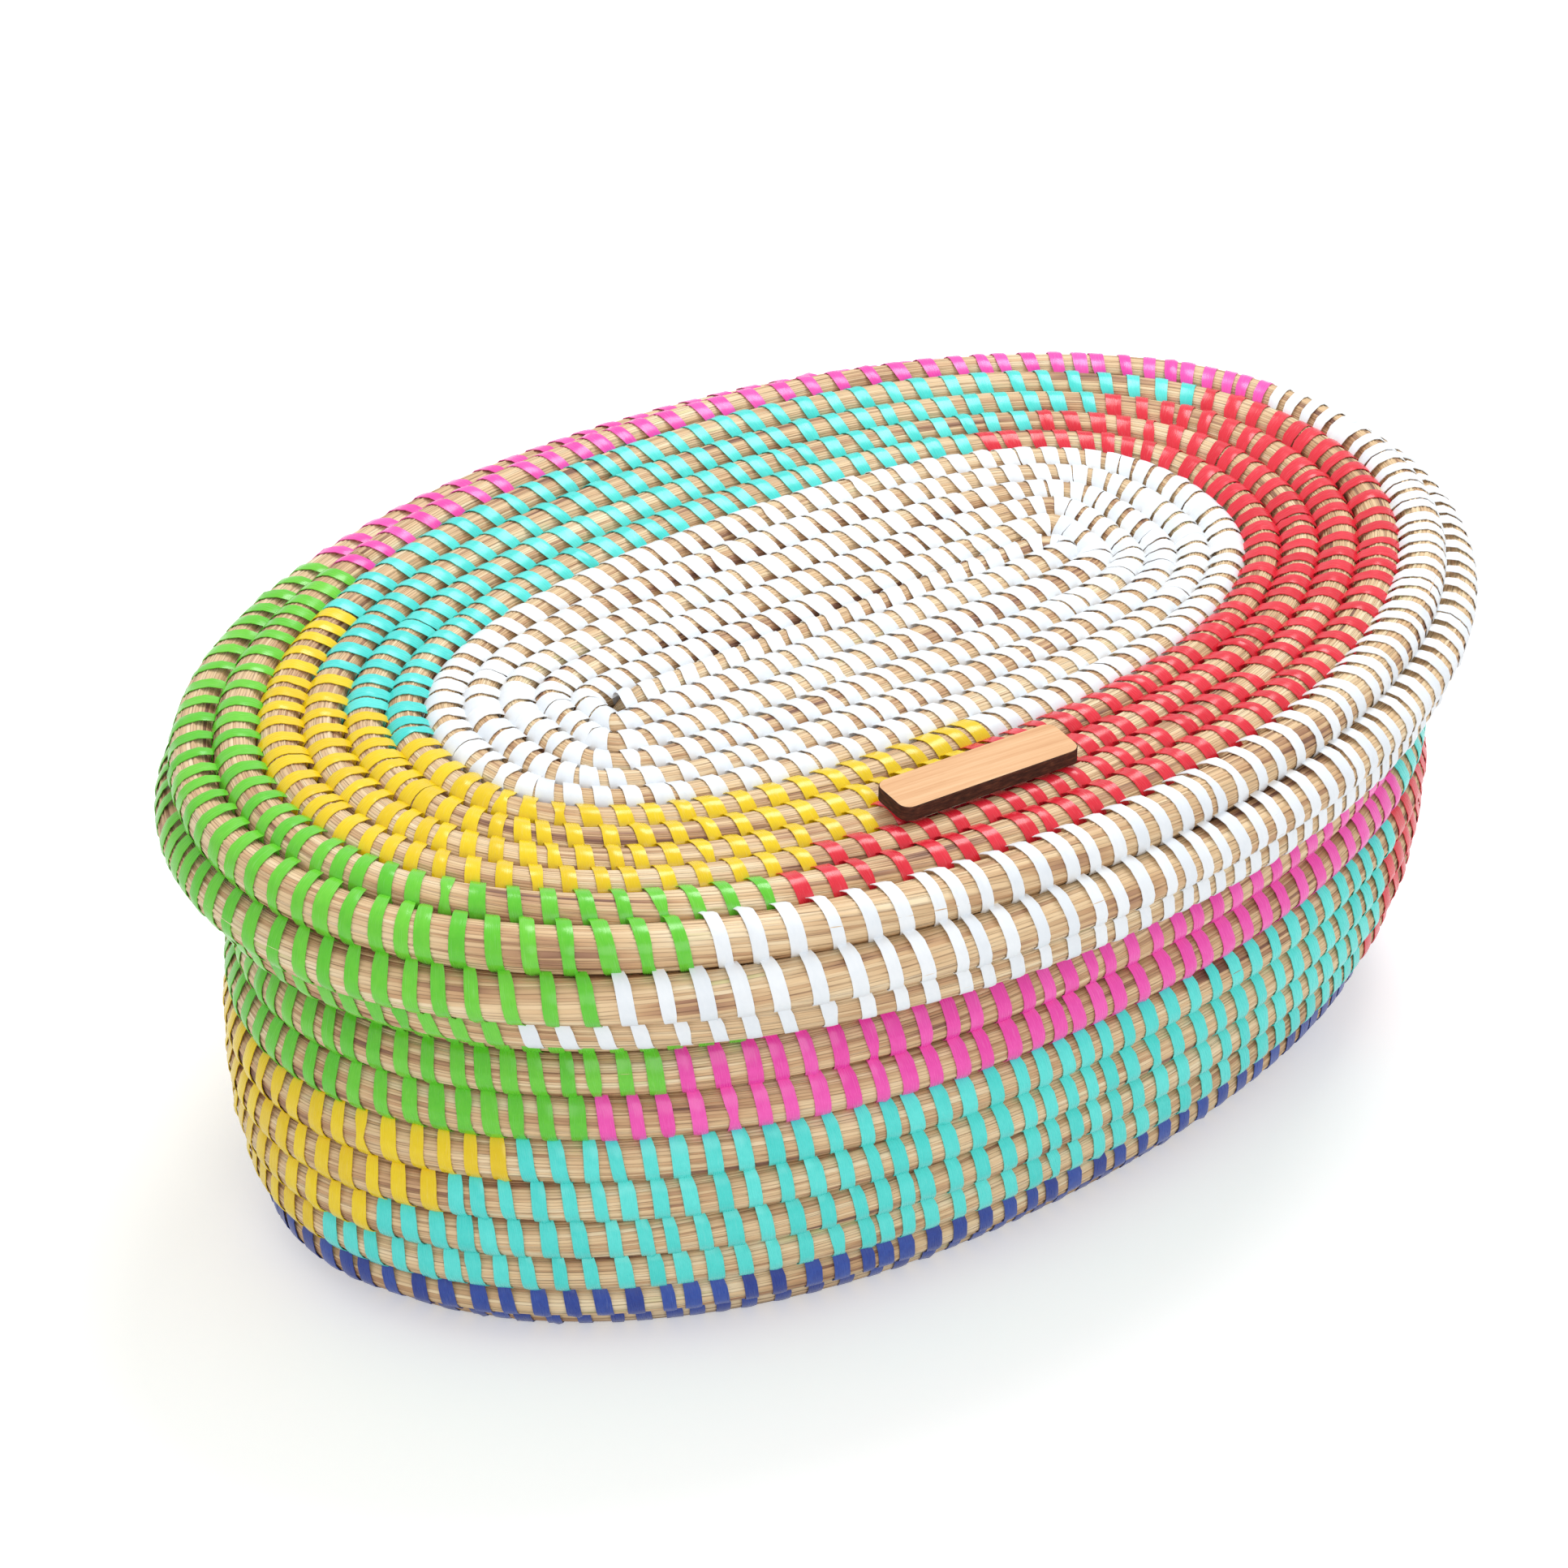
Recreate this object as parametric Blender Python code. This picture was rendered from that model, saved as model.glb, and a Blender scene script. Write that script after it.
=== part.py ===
"""Lidded oval bread basket coiled from grass bundles.

Two bodies: the basket (base coil and wall coil) and the loose lid (flat coil, turned-down rim coil,
small wooden tag on a pad of glue). Every coil is one unbroken spiral tube laid on one family of
ovals: the lid runs clockwise seen from above, the basket counter-clockwise.
Frame: +X is the long axis, -Y the front, +Z up, origin under the middle at the base's underside.
"""
import math

import bmesh
import bpy
import numpy as np
from mathutils import kdtree

# the ovals, metres
LEVEL_STEP = 0.010417
CORE_HALF = 0.0668
END_DRAW = 0.0163
END_DRAW_RUN = 0.0260
CORNER_RUN = 0.0167
END_GROW_SHARE = 0.988
CENTRE_DRIFT_SHARE = 0.035
OVAL_POWER_SHARE = 2.12
CORE_POWER_SHARE = 4.9

# the lid
PANEL_HALF_THICK = 0.0050
LID_DISH = 0.0024
RIM_BLEND_TURN_SHARE = 10.0
RIM_START_TURN_SHARE = 10.5
RIM_END_TURN_SHARE = 13.5
RIM_HALF_THICK = 0.0056
RIM_RADIUS_SHARES = (0.893, 0.892, 0.853, 1.086, 1.035, 1.118, 1.098, 1.029, 0.98, 0.571)
RIM_RADIUS_TURN_SHARES = (9.5, 10.0, 10.5, 11.0, 11.5, 12.0, 12.5, 13.0, 13.25, 13.5)
RIM_LEAN_SHARES = (0.0, 0.053, 0.2125, 1.607, 2.280)
RIM_LEAN_TURN_SHARES = (10.2, 10.5, 11.0, 12.0, 13.0)
LID_START_ANGLE_SHARE = 29.0
LID_GROWTH_SIN_SHARES = (0.0366, -0.0708)
LID_GROWTH_COS_SHARES = (-0.0104, 0.0552)
LID_POWER_SHARE = -0.083
LID_LONGER_SHARE = 0.0317
LID_WIDER_SHARE = -0.0346
LID_TWIST_SHARE = 0.0876
LID_TWIST_OUT_SHARE = -0.0076
LID_SHIFT_X = 0.0016
LID_SHIFT_Y = 0.00225
LID_SHIFT_OUT_X = -0.0002
LID_SHIFT_OUT_Y = -0.00135
LID_RISE = 0.0019
LID_RISE_MIDDLE = -0.0003
LID_CORE_OFFSET = 0.0022
LID_FIRST_ANGLE_SHARE = 285.0
LID_TILT_SHARE = 0.0284

# the basket
WALL_PITCH = 0.011636
WALL_HALF_THICK = 0.0058
WALL_TOP_IN = 0.0052
WALL_TOP_DROP = 0.0264
WALL_TURN_SHARES = (-2.5, -0.5, 0.0, 1.0, 2.0, 3.0, 4.0, 5.0, 6.0, 7.0, 7.5, 8.0, 8.4, 9.0)
WALL_LEAN_SHARES = (70.0, 76.0, 83.9, 86.2, 89.1, 92.8, 97.4, 103.0, 109.7, 117.1, 129.3, 148.3, 180.0, 180.0)
WALL_LAST_TURN_SHARE = 8.6
WALL_JOINT_TURN_SHARE = 3.49
BASE_TURNS_SHARE = 7.0
BASE_FIRST_ANGLE_SHARE = 255.0
WALL_FIRST_TURN_SHARE = -1.9
BASE_SEAM_ANGLE_SHARE = 156.0
BASE_FIRST_LEVEL = 0.0030
BASE_CORE_OFFSET = 0.0026
TOP_COIL_LEAST = 0.0028
TOP_COIL_IN = 0.0032
RIGHT_BULGE = 0.0180
RIGHT_BULGE_SHARES = (0.44, 0.53, 0.78, 0.97, 1.0, 0.87)
RIGHT_BULGE_DEPTH_SHARES = (0.0, 0.18, 0.42, 0.72, 0.96, 1.14)
LEFT_BULGE = 0.0011
BASE_SHIFT_X = -0.0133
BASE_SHIFT_Y = -0.0046
SHIFT_DEPTH = 0.0833
WALL_SHIFT_X = 0.0011
WALL_SHIFT_Y = 0.0045
WALL_TWIST_SHARE = 0.0803
WALL_POWER_SHARE = 0.2
EASE_FROM = 0.0210
EASE_TO = 0.0330
LID_SEAT_GAP = 0.0004

# the tag and the clearances
COIL_GAP = 0.0006
BUTT_GAP = 0.0005
CORE_END_GAP = 0.0058
TAG_LENGTH = 0.0506
TAG_WIDTH = 0.0134
TAG_THICK = 0.0040
TAG_CORNER = 0.0030
TAG_X = -0.0085
TAG_Y = -0.0781
TAG_TURN_SHARE = 0.035
TAG_ABOVE_COIL = 0.0011
PAD_LENGTH = 0.0440
PAD_WIDTH = 0.0080
PAD_CORNER = 0.0010
PIECE_GAP = 0.0003

POINTS_PER_TURN = 24

COLOURS = {
    "basket_base_coil": (0.55, 0.37, 0.19), "basket_wall_lower_coil": (0.60, 0.41, 0.21),
    "basket_wall_upper_coil": (0.60, 0.41, 0.21),
    "lid_panel_coil": (0.64, 0.46, 0.26), "lid_rim_coil": (0.58, 0.40, 0.22),
    "name_tag": (0.80, 0.56, 0.31), "tag_glue_pad": (0.85, 0.80, 0.65),
}


def material(name, colour, rough=0.6):
    mat = bpy.data.materials.new(name)
    mat.use_nodes = True
    bsdf = mat.node_tree.nodes["Principled BSDF"]
    bsdf.inputs["Base Color"].default_value = (*colour, 1.0)
    bsdf.inputs["Roughness"].default_value = rough
    return mat


def add_object(name, verts, faces, mat):
    """A mesh object with outward faces from plain lists."""
    mesh = bpy.data.meshes.new(name)
    mesh.from_pydata([tuple(v) for v in verts], [], faces)
    bm = bmesh.new()
    bm.from_mesh(mesh)
    bmesh.ops.recalc_face_normals(bm, faces=bm.faces)
    bm.to_mesh(mesh)
    bm.free()
    mesh.update()
    mesh.materials.append(mat)
    obj = bpy.data.objects.new(name, mesh)
    bpy.context.scene.collection.objects.link(obj)
    return obj


def oval(angle, level, right_power=0.0, power_more=0.0):
    """Point and outward direction on the oval at a level; the angle runs clockwise from the front, from above."""
    a = math.radians(angle)
    half_x = CORE_HALF + END_GROW_SHARE * level - END_DRAW * (1.0 - math.exp(-level / END_DRAW_RUN))
    half_y = max(level, 0.02 * LEVEL_STEP)
    power = OVAL_POWER_SHARE + power_more + CORE_POWER_SHARE * math.exp(-(level - LEVEL_STEP) / CORNER_RUN)
    s, c = math.sin(a), math.cos(a)
    power -= right_power * math.copysign(1.0, s)
    x = -half_x * math.copysign(abs(s) ** (2.0 / power), s)
    y = -half_y * math.copysign(abs(c) ** (2.0 / power), c)
    gx = math.copysign(abs(x / half_x) ** (power - 1.0), x) / half_x
    gy = math.copysign(abs(y / half_y) ** (power - 1.0), y) / half_y
    g = math.hypot(gx, gy)
    return x - CENTRE_DRIFT_SHARE * level, y, gx / g, gy / g


def lid_turn(angle):
    """Turn number of the lid's level, which grows unevenly round each turn, at an unwrapped clockwise angle."""
    u = (angle + LID_START_ANGLE_SHARE) / 360.0
    for k, (a, b) in enumerate(zip(LID_GROWTH_SIN_SHARES, LID_GROWTH_COS_SHARES), 1):
        f = 2.0 * math.pi * k * (angle + LID_START_ANGLE_SHARE) / 360.0
        u += a * math.sin(f) + b * (math.cos(f) - 1.0)
    return u


def rim_tables():
    """Outward offset, height, radius and lean of the lid's outer coils against the plain turn number."""
    count = 360
    turns = 9.0 + np.arange(5 * count + 1) / count
    rad = RIM_HALF_THICK * np.interp(turns, RIM_RADIUS_TURN_SHARES, RIM_RADIUS_SHARES)
    lean = np.interp(turns, RIM_LEAN_TURN_SHARES, RIM_LEAN_SHARES)
    level = np.array([lid_turn(360.0 * t - LID_START_ANGLE_SHARE) - 0.5 for t in turns]) * LEVEL_STEP
    off = level - LEVEL_TEN
    high = LID_DISH * np.minimum(level / LEVEL_TEN, 1.0) ** 2
    for i in range(count, len(turns)):
        if turns[i] > RIM_BLEND_TURN_SHARE:
            share = min((turns[i] - RIM_BLEND_TURN_SHARE) / (RIM_START_TURN_SHARE - RIM_BLEND_TURN_SHARE), 1.0)
            pitch, mean = rad[i] + rad[i - count], 0.5 * (lean[i] + lean[i - count])
            off[i] += share * (off[i - count] + pitch * math.cos(mean) - off[i])
            high[i] += share * (high[i - count] - pitch * math.sin(mean) - high[i])
    return turns, off, high, rad, lean


LEVEL_TEN = 10.0 * LEVEL_STEP
RIM = rim_tables()


def wall_tables():
    """Level, height and lean of the wall against its turn number, counted down from the hidden top coil."""
    turns = np.linspace(-2.5, 9.5, 2401)
    lean = np.radians(np.interp(turns, WALL_TURN_SHARES, WALL_LEAN_SHARES))
    step = turns[1] - turns[0]
    off = np.concatenate([[0.0], np.cumsum((WALL_PITCH * np.cos(lean))[:-1] * step)])
    high = np.concatenate([[0.0], -np.cumsum((WALL_PITCH * np.sin(lean))[:-1] * step)])
    off += -WALL_TOP_IN - np.interp(0.0, turns, off)
    high += -WALL_TOP_DROP - np.interp(0.0, turns, high)
    return turns, LEVEL_TEN + off, high, lean


WALL = wall_tables()
BASE_HEIGHT = float(np.interp(9.0, WALL[0], WALL[2]))
LIFT = WALL_HALF_THICK - BASE_HEIGHT
SEAT_HEIGHT = LID_DISH * 0.93 + LID_RISE - PANEL_HALF_THICK - LID_SEAT_GAP


def lid_place(x, y, out):
    """A point of the lid's ovals in its place: stretched, turned and shifted; out is 0 at the middle, 1 at the rim."""
    x, y = x * (1.0 + LID_LONGER_SHARE * out), y * (1.0 + LID_WIDER_SHARE * out)
    twist = LID_TWIST_SHARE + LID_TWIST_OUT_SHARE * out
    return x - twist * y + LID_SHIFT_X + LID_SHIFT_OUT_X * out, y + twist * x + LID_SHIFT_Y + LID_SHIFT_OUT_Y * out


def lid_flat(angle):
    """Centre on the lid's ovals, how far out it is from 0 to 1, radius and lean."""
    u = (angle + LID_START_ANGLE_SHARE) / 360.0
    turns, off, high, rad, lean = RIM
    level = min((lid_turn(angle) - 0.5) * LEVEL_STEP, LEVEL_TEN)
    x, y, nx, ny = oval(angle, level, 0.0, LID_POWER_SHARE * level / LEVEL_TEN)
    z, r, tip = LID_DISH * (level / LEVEL_TEN) ** 2, PANEL_HALF_THICK, 0.0
    if u > RIM_BLEND_TURN_SHARE:
        share = min((u - RIM_BLEND_TURN_SHARE) / (RIM_START_TURN_SHARE - RIM_BLEND_TURN_SHARE), 1.0)
        rx, ry, nx, ny = oval(angle, LEVEL_TEN, 0.0, LID_POWER_SHARE)
        o = float(np.interp(u, turns, off))
        x += share * (rx + nx * o - x)
        y += share * (ry + ny * o - y)
        z, tip = float(np.interp(u, turns, high)), float(np.interp(u, turns, lean))
        level += share * (LEVEL_TEN - level)
    if u > RIM_RADIUS_TURN_SHARES[0]:
        r = float(np.interp(u, turns, rad))
    return x, y, z, level / LEVEL_TEN, r, tip


def lid_point(angle):
    """Centre, radius and lean of the lid's coil."""
    x, y, z, out, r, tip = lid_flat(angle)
    x, y = lid_place(x, y, out)
    return (x, y, z + LID_RISE + LID_RISE_MIDDLE * (1.0 - out ** 2)), r, tip


def wall_turn(travel):
    """Turn number at a counter-clockwise travel in degrees, both counted from the seam at the back left."""
    return 8.5 - travel / 360.0


def wall_point(travel, base_step, base_turn):
    """Centre, radius and lean of the basket's coil."""
    s = wall_turn(travel)
    angle = BASE_SEAM_ANGLE_SHARE - travel
    if s > WALL_LAST_TURN_SHARE:
        level = BASE_FIRST_LEVEL + (base_turn - s) * base_step
        high, lean, rad = BASE_HEIGHT, math.pi, WALL_HALF_THICK
    else:
        turns, levels, highs, leans = WALL
        level = float(np.interp(s, turns, levels))
        high, lean, rad = float(np.interp(s, turns, highs)), float(np.interp(s, turns, leans)), WALL_HALF_THICK
        below = float(np.interp(s + 1.0, turns, highs)) + WALL_HALF_THICK
        seat_x = lid_place(*oval(angle, level)[:2], 1.0)[0]
        reach = WALL_HALF_THICK * max(abs(math.cos(lean)) + 0.5 * abs(math.sin(lean)), abs(math.sin(lean)))
        high = max(high, BASE_HEIGHT - WALL_HALF_THICK + reach)
        fit = 0.5 * (SEAT_HEIGHT - LID_TILT_SHARE * seat_x - below)
        if fit < rad:
            rad = max(fit, TOP_COIL_LEAST)
            high = below + rad
    ease = min(max((-high - EASE_FROM) / (EASE_TO - EASE_FROM), 0.0), 1.0)
    x, y, nx, ny = oval(angle, level, WALL_POWER_SHARE * ease)
    depth = max(0.0, -high - 2.0 * LEVEL_STEP)
    right = RIGHT_BULGE * float(np.interp(depth / SHIFT_DEPTH, RIGHT_BULGE_DEPTH_SHARES, RIGHT_BULGE_SHARES))
    side = right if nx > 0.0 else LEFT_BULGE
    side *= nx * nx
    top_x, top_y = lid_place(x - nx * TOP_COIL_IN, y - ny * TOP_COIL_IN, 1.0)
    x += nx * side + BASE_SHIFT_X * depth / SHIFT_DEPTH + WALL_SHIFT_X
    y += ny * side + BASE_SHIFT_Y * depth / SHIFT_DEPTH + WALL_SHIFT_Y
    x, y = x - WALL_TWIST_SHARE * y, y + WALL_TWIST_SHARE * x
    return (top_x + ease * (x - top_x), top_y + ease * (y - top_y), LIFT + high), rad, lean


def frames(points, leans, clockwise):
    """Section axes at each centre: along the profile to the next turn, facing out of it, and along the path."""
    tangents = np.gradient(points, axis=0)
    tangents /= np.linalg.norm(tangents, axis=1)[:, None]
    up = np.array([0.0, 0.0, 1.0])
    out = np.cross(up, tangents) if clockwise else np.cross(tangents, up)
    out /= np.linalg.norm(out, axis=1)[:, None]
    c, s = np.cos(leans)[:, None], np.sin(leans)[:, None]
    return c * out - s * up, s * out + c * up, tangents


def spacing(points, skip=2):
    """Least distance from each centre to the coil's other turns, also felt at the middles of the segments."""
    a, b = points[:-1], points[1:]
    ab = b - a
    length2 = (ab ** 2).sum(1)
    probes = [(i, points[i]) for i in range(len(points))]
    probes += [(i + 0.5, 0.5 * (points[i] + points[i + 1])) for i in range(len(points) - 1)]
    found = {}
    for i, p in probes:
        t = np.clip(((p - a) * ab).sum(1) / length2, 0.0, 1.0)
        d = np.linalg.norm(p - (a + ab * t[:, None]), axis=1)
        near = np.abs(np.arange(len(a)) + 0.5 - i) < skip + 0.6
        d[near] = math.inf
        found[i] = d.min()
    return np.array([min(found[i], found.get(i - 0.5, math.inf), found.get(i + 0.5, math.inf)) for i in range(len(points))])


def sections(points, axis1, axis2, half_w, half_h):
    """Hexagons with a flat side facing out and corners towards the neighbouring turns."""
    shape = ((1.0, 0.0), (0.5, 1.0), (-0.5, 1.0), (-1.0, 0.0), (-0.5, -1.0), (0.5, -1.0))
    return np.stack([points + axis1 * (u * half_w)[:, None] + axis2 * (v * half_h)[:, None] for u, v in shape], 1)


def coil(names, splits, points, rads, leans, clockwise):
    """Tubes of hexagon sections, each unbroken, that follow one path and meet end to end at its split points."""
    points, rads, leans = np.array(points), np.array(rads), np.array(leans)
    axis1, axis2, tangents = frames(points, leans, clockwise)
    half_w = np.minimum(0.5 * (spacing(points) - COIL_GAP), rads)
    half_w = np.minimum(half_w, np.minimum(np.roll(half_w, 1) * 1.25, np.roll(half_w, -1) * 1.25))
    whole = sections(points, axis1, axis2, half_w, rads)
    ends = [0, *splits, len(points) - 1]
    for name, low, high in zip(names, ends[:-1], ends[1:]):
        rings = whole[low:high + 1].copy()
        if low in splits:
            rings[0] += 0.5 * BUTT_GAP * tangents[low]
        if high in splits:
            rings[-1] -= 0.5 * BUTT_GAP * tangents[high]
        verts = rings.reshape(-1, 3)
        faces = []
        for i in range(len(rings) - 1):
            for k in range(6):
                m = (k + 1) % 6
                faces.append((6 * i + k, 6 * i + m, 6 * i + 6 + m, 6 * i + 6 + k))
        last = 6 * (len(rings) - 1)
        faces += [tuple(range(6)), tuple(last + k for k in range(6))]
        add_object(name, verts, faces, MATS[name])
        report_gap(name, rings)


def report_gap(name, rings):
    """Prints the tube's least gap to itself, measured on points spread over its surface."""
    pts, idx = [], []
    for i in range(len(rings) - 1):
        for f in (0.0, 0.25, 0.5, 0.75):
            ring = rings[i] * (1.0 - f) + rings[i + 1] * f
            for k in range(6):
                pts += [ring[k], 0.5 * (ring[k] + ring[(k + 1) % 6])]
                idx += [i + f, i + f]
    tree = kdtree.KDTree(len(pts))
    for n, p in enumerate(pts):
        tree.insert(p, n)
    tree.balance()
    least = math.inf
    for n, p in enumerate(pts):
        for _, m, d in tree.find_range(p, 2.0 * COIL_GAP):
            if abs(idx[n] - idx[m]) > 3.0 and d < least:
                least = d
    print("least gap of", name, "to itself, mm:", round(least * 1000.0, 3))


def prism(name, outline, low, high, mat):
    """An upright prism over an outline in the XY plane."""
    n = len(outline)
    verts = [(x, y, low) for x, y in outline] + [(x, y, high) for x, y in outline]
    faces = [tuple(range(n)), tuple(range(n, 2 * n))]
    faces += [(k, (k + 1) % n, n + (k + 1) % n, n + k) for k in range(n)]
    return add_object(name, verts, faces, mat)


def rounded(cx, cy, length, width, corner, steps=5):
    """Outline of a rounded rectangle, turned a little as the tag lies."""
    pts = []
    for k, (sx, sy) in enumerate(((1, 1), (-1, 1), (-1, -1), (1, -1))):
        for j in range(steps):
            a = math.radians(90.0 * k + 90.0 * j / (steps - 1))
            x = sx * (0.5 * length - corner) + corner * math.cos(a)
            y = sy * (0.5 * width - corner) + corner * math.sin(a)
            pts.append((cx + x - TAG_TURN_SHARE * y, cy + y + TAG_TURN_SHARE * x))
    return pts


for old in list(bpy.data.objects):
    bpy.data.objects.remove(old)

MATS = {key: material("mat_" + key, value, 0.4 if key == "tag_glue_pad" else 0.8) for key, value in COLOURS.items()}
STEP = 360.0 / POINTS_PER_TURN

# basket: the base coil starts as a straight row, turns at the right end and runs counter-clockwise
first_travel = (BASE_SEAM_ANGLE_SHARE - BASE_FIRST_ANGLE_SHARE) % 360.0 - 360.0 * BASE_TURNS_SHARE
base_turn = wall_turn(first_travel)
level_out = float(np.interp(WALL_LAST_TURN_SHARE, WALL[0], WALL[1]))
base_step = (level_out - BASE_FIRST_LEVEL) / (base_turn - WALL_LAST_TURN_SHARE)
switch = 360.0 * (8.5 - WALL_LAST_TURN_SHARE)
first_pt = wall_point(first_travel, base_step, base_turn)[0]
base_depth = -BASE_HEIGHT - 2.0 * LEVEL_STEP
base_x = BASE_SHIFT_X * base_depth / SHIFT_DEPTH + WALL_SHIFT_X
base_y = BASE_SHIFT_Y * base_depth / SHIFT_DEPTH + WALL_SHIFT_Y - BASE_CORE_OFFSET
core_right = first_pt[0] - 0.5 * LEVEL_STEP
core_left = wall_point(BASE_SEAM_ANGLE_SHARE - 90.0 - 360.0 * (BASE_TURNS_SHARE - 1.0), base_step, base_turn)[0][0] + CORE_END_GAP
pts = []
for u in (0.0, 0.25, 0.5, 0.75, 1.0):
    x = core_left + u * (core_right - core_left)
    pts.append((x, base_y + WALL_TWIST_SHARE * x, LIFT + BASE_HEIGHT))
pts.append((0.4 * pts[-1][0] + 0.6 * first_pt[0], 0.5 * (pts[-1][1] + first_pt[1]), LIFT + BASE_HEIGHT))
rads = [WALL_HALF_THICK] * len(pts)
leans = [math.pi] * len(pts)
travels = list(np.arange(first_travel, switch - 0.5 * STEP, STEP)) + [switch]
for tr in travels:
    p, r, lean = wall_point(tr, base_step, base_turn)
    if tr == switch:
        p = wall_point(tr - 1e-6, base_step, base_turn)[0]
    pts.append((p[0], p[1], LIFT + BASE_HEIGHT))
    rads.append(WALL_HALF_THICK)
    leans.append(math.pi)
splits = [len(pts) - 1]

last_travel = 360.0 * (8.5 - WALL_FIRST_TURN_SHARE)
wall_travels = list(np.arange(switch + STEP, last_travel - 0.5 * STEP, STEP)) + [last_travel]
for tr in wall_travels:
    p, r, lean = wall_point(tr, base_step, base_turn)
    pts.append(p)
    rads.append(r)
    leans.append(lean)
    if wall_turn(tr) > WALL_JOINT_TURN_SHARE:
        joint = len(pts) - 1
splits.append(joint)
coil(("basket_base_coil", "basket_wall_lower_coil", "basket_wall_upper_coil"), splits, pts, rads, leans, False)

# lid: straight first row, a turn at the right end, then clockwise to the rim
seam = 360.0 * RIM_START_TURN_SHARE - LID_START_ANGLE_SHARE
first = LID_FIRST_ANGLE_SHARE
first_pt = lid_flat(first)
core_right = first_pt[0] - 0.5 * LEVEL_STEP
core_left = lid_flat(450.0)[0] + CORE_END_GAP
z0 = lid_point(first)[0][2]
row = [(core_left + u * (core_right - core_left), LID_CORE_OFFSET) for u in (0.0, 0.25, 0.5, 0.75, 1.0)]
row.append((0.4 * row[-1][0] + 0.6 * first_pt[0], 0.5 * (row[-1][1] + first_pt[1])))
pts = [(*lid_place(x, y, first_pt[3]), z0) for x, y in row]
rads, leans = [PANEL_HALF_THICK] * len(pts), [0.0] * len(pts)
panel_angles = list(np.arange(first, seam - 0.5 * STEP, STEP)) + [seam]
for a in panel_angles:
    p, r, lean = lid_point(a)
    pts.append(p)
    rads.append(r)
    leans.append(lean)
split = len(pts) - 1

rim_end = 360.0 * RIM_END_TURN_SHARE - LID_START_ANGLE_SHARE
rim_angles = list(np.arange(seam + STEP, rim_end - 0.5 * STEP, STEP)) + [rim_end]
for a in rim_angles:
    p, r, lean = lid_point(a)
    pts.append(p)
    rads.append(r)
    leans.append(lean)
coil(("lid_panel_coil", "lid_rim_coil"), [split], pts, rads, leans, True)

level_tag = (abs(TAG_Y) + 0.5 * TAG_WIDTH) / (1.0 + LID_WIDER_SHARE)
coil_top = LID_DISH * (level_tag / LEVEL_TEN) ** 2 + LID_RISE + PANEL_HALF_THICK
prism("name_tag", rounded(TAG_X, TAG_Y, TAG_LENGTH, TAG_WIDTH, TAG_CORNER), coil_top + TAG_ABOVE_COIL,
      coil_top + TAG_ABOVE_COIL + TAG_THICK, MATS["name_tag"])
prism("tag_glue_pad", rounded(TAG_X, TAG_Y, PAD_LENGTH, PAD_WIDTH, PAD_CORNER, 2), coil_top + PIECE_GAP,
      coil_top + TAG_ABOVE_COIL - PIECE_GAP, MATS["tag_glue_pad"])

# the lid leans a little to the right on the basket's rising top coil
for obj in bpy.data.objects:
    if not obj.name.startswith("basket"):
        for v in obj.data.vertices:
            x, y, z = v.co
            v.co = (x + LID_TILT_SHARE * z, y, z - LID_TILT_SHARE * x + LIFT)

# the origin goes under the middle of the whole object
low, high = np.full(3, math.inf), np.full(3, -math.inf)
for obj in bpy.data.objects:
    co = np.array([v.co for v in obj.data.vertices])
    low, high = np.minimum(low, co.min(0)), np.maximum(high, co.max(0))
move = np.array([-0.5 * (low[0] + high[0]), -0.5 * (low[1] + high[1]), -low[2]])
total = 0
for obj in bpy.data.objects:
    for v in obj.data.vertices:
        v.co = tuple(np.array(v.co) + move)
    tris = sum(len(p.vertices) - 2 for p in obj.data.polygons)
    total += tris
    print(obj.name, "triangles", tris)
print("triangles in all", total)
print("size, mm:", [round(float(v) * 1000.0, 2) for v in (high - low)], "moved by", [round(float(v), 6) for v in move])
print("seat height", SEAT_HEIGHT + LIFT + move[2], "base step", base_step, "base turns", base_turn - WALL_LAST_TURN_SHARE)
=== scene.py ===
"""Dressed model of a lidded oval bread basket: coils of dry grass sewn with strips of coloured plastic,
a loose lid and a small bare wooden tag. Metres, +X the long axis, -Y the front, +Z up."""
import math

import bpy
import numpy as np
from mathutils import Matrix, Vector


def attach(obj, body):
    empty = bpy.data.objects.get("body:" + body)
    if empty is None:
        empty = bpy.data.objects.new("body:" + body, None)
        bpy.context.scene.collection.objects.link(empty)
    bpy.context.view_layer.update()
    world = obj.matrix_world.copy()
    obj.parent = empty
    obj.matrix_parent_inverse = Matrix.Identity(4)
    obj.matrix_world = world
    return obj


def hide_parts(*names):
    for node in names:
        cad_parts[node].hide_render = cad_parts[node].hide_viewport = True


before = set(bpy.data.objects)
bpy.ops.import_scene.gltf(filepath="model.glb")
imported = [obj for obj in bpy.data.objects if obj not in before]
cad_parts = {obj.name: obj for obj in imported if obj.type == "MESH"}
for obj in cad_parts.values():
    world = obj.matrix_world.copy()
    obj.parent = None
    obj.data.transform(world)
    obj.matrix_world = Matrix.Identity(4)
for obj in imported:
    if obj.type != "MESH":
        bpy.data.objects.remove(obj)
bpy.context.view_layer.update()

rng = np.random.default_rng(7)

# ------------------------------------------------------------------ the coils' paths, as in the CAD model
# Lengths in metres. Angles run clockwise seen from above, from the front, in degrees. A turn is 360 of them.
# A coil's level is how far the oval of a turn has grown past the straight core that it is wound round.
LEVEL_STEP = 0.010417               # what a turn of the lid adds, and the unit of the camera's place
LEVEL_TEN = 10.0 * LEVEL_STEP       # the lid's last level before its rim turns down
CORE_HALF, END_DRAW, END_DRAW_RUN, END_GROW = 0.0668, 0.0163, 0.0260, 0.988
OVAL_POWER, CORE_POWER, CORNER_RUN, CENTRE_DRIFT = 2.12, 4.9, 0.0167, 0.035

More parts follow.
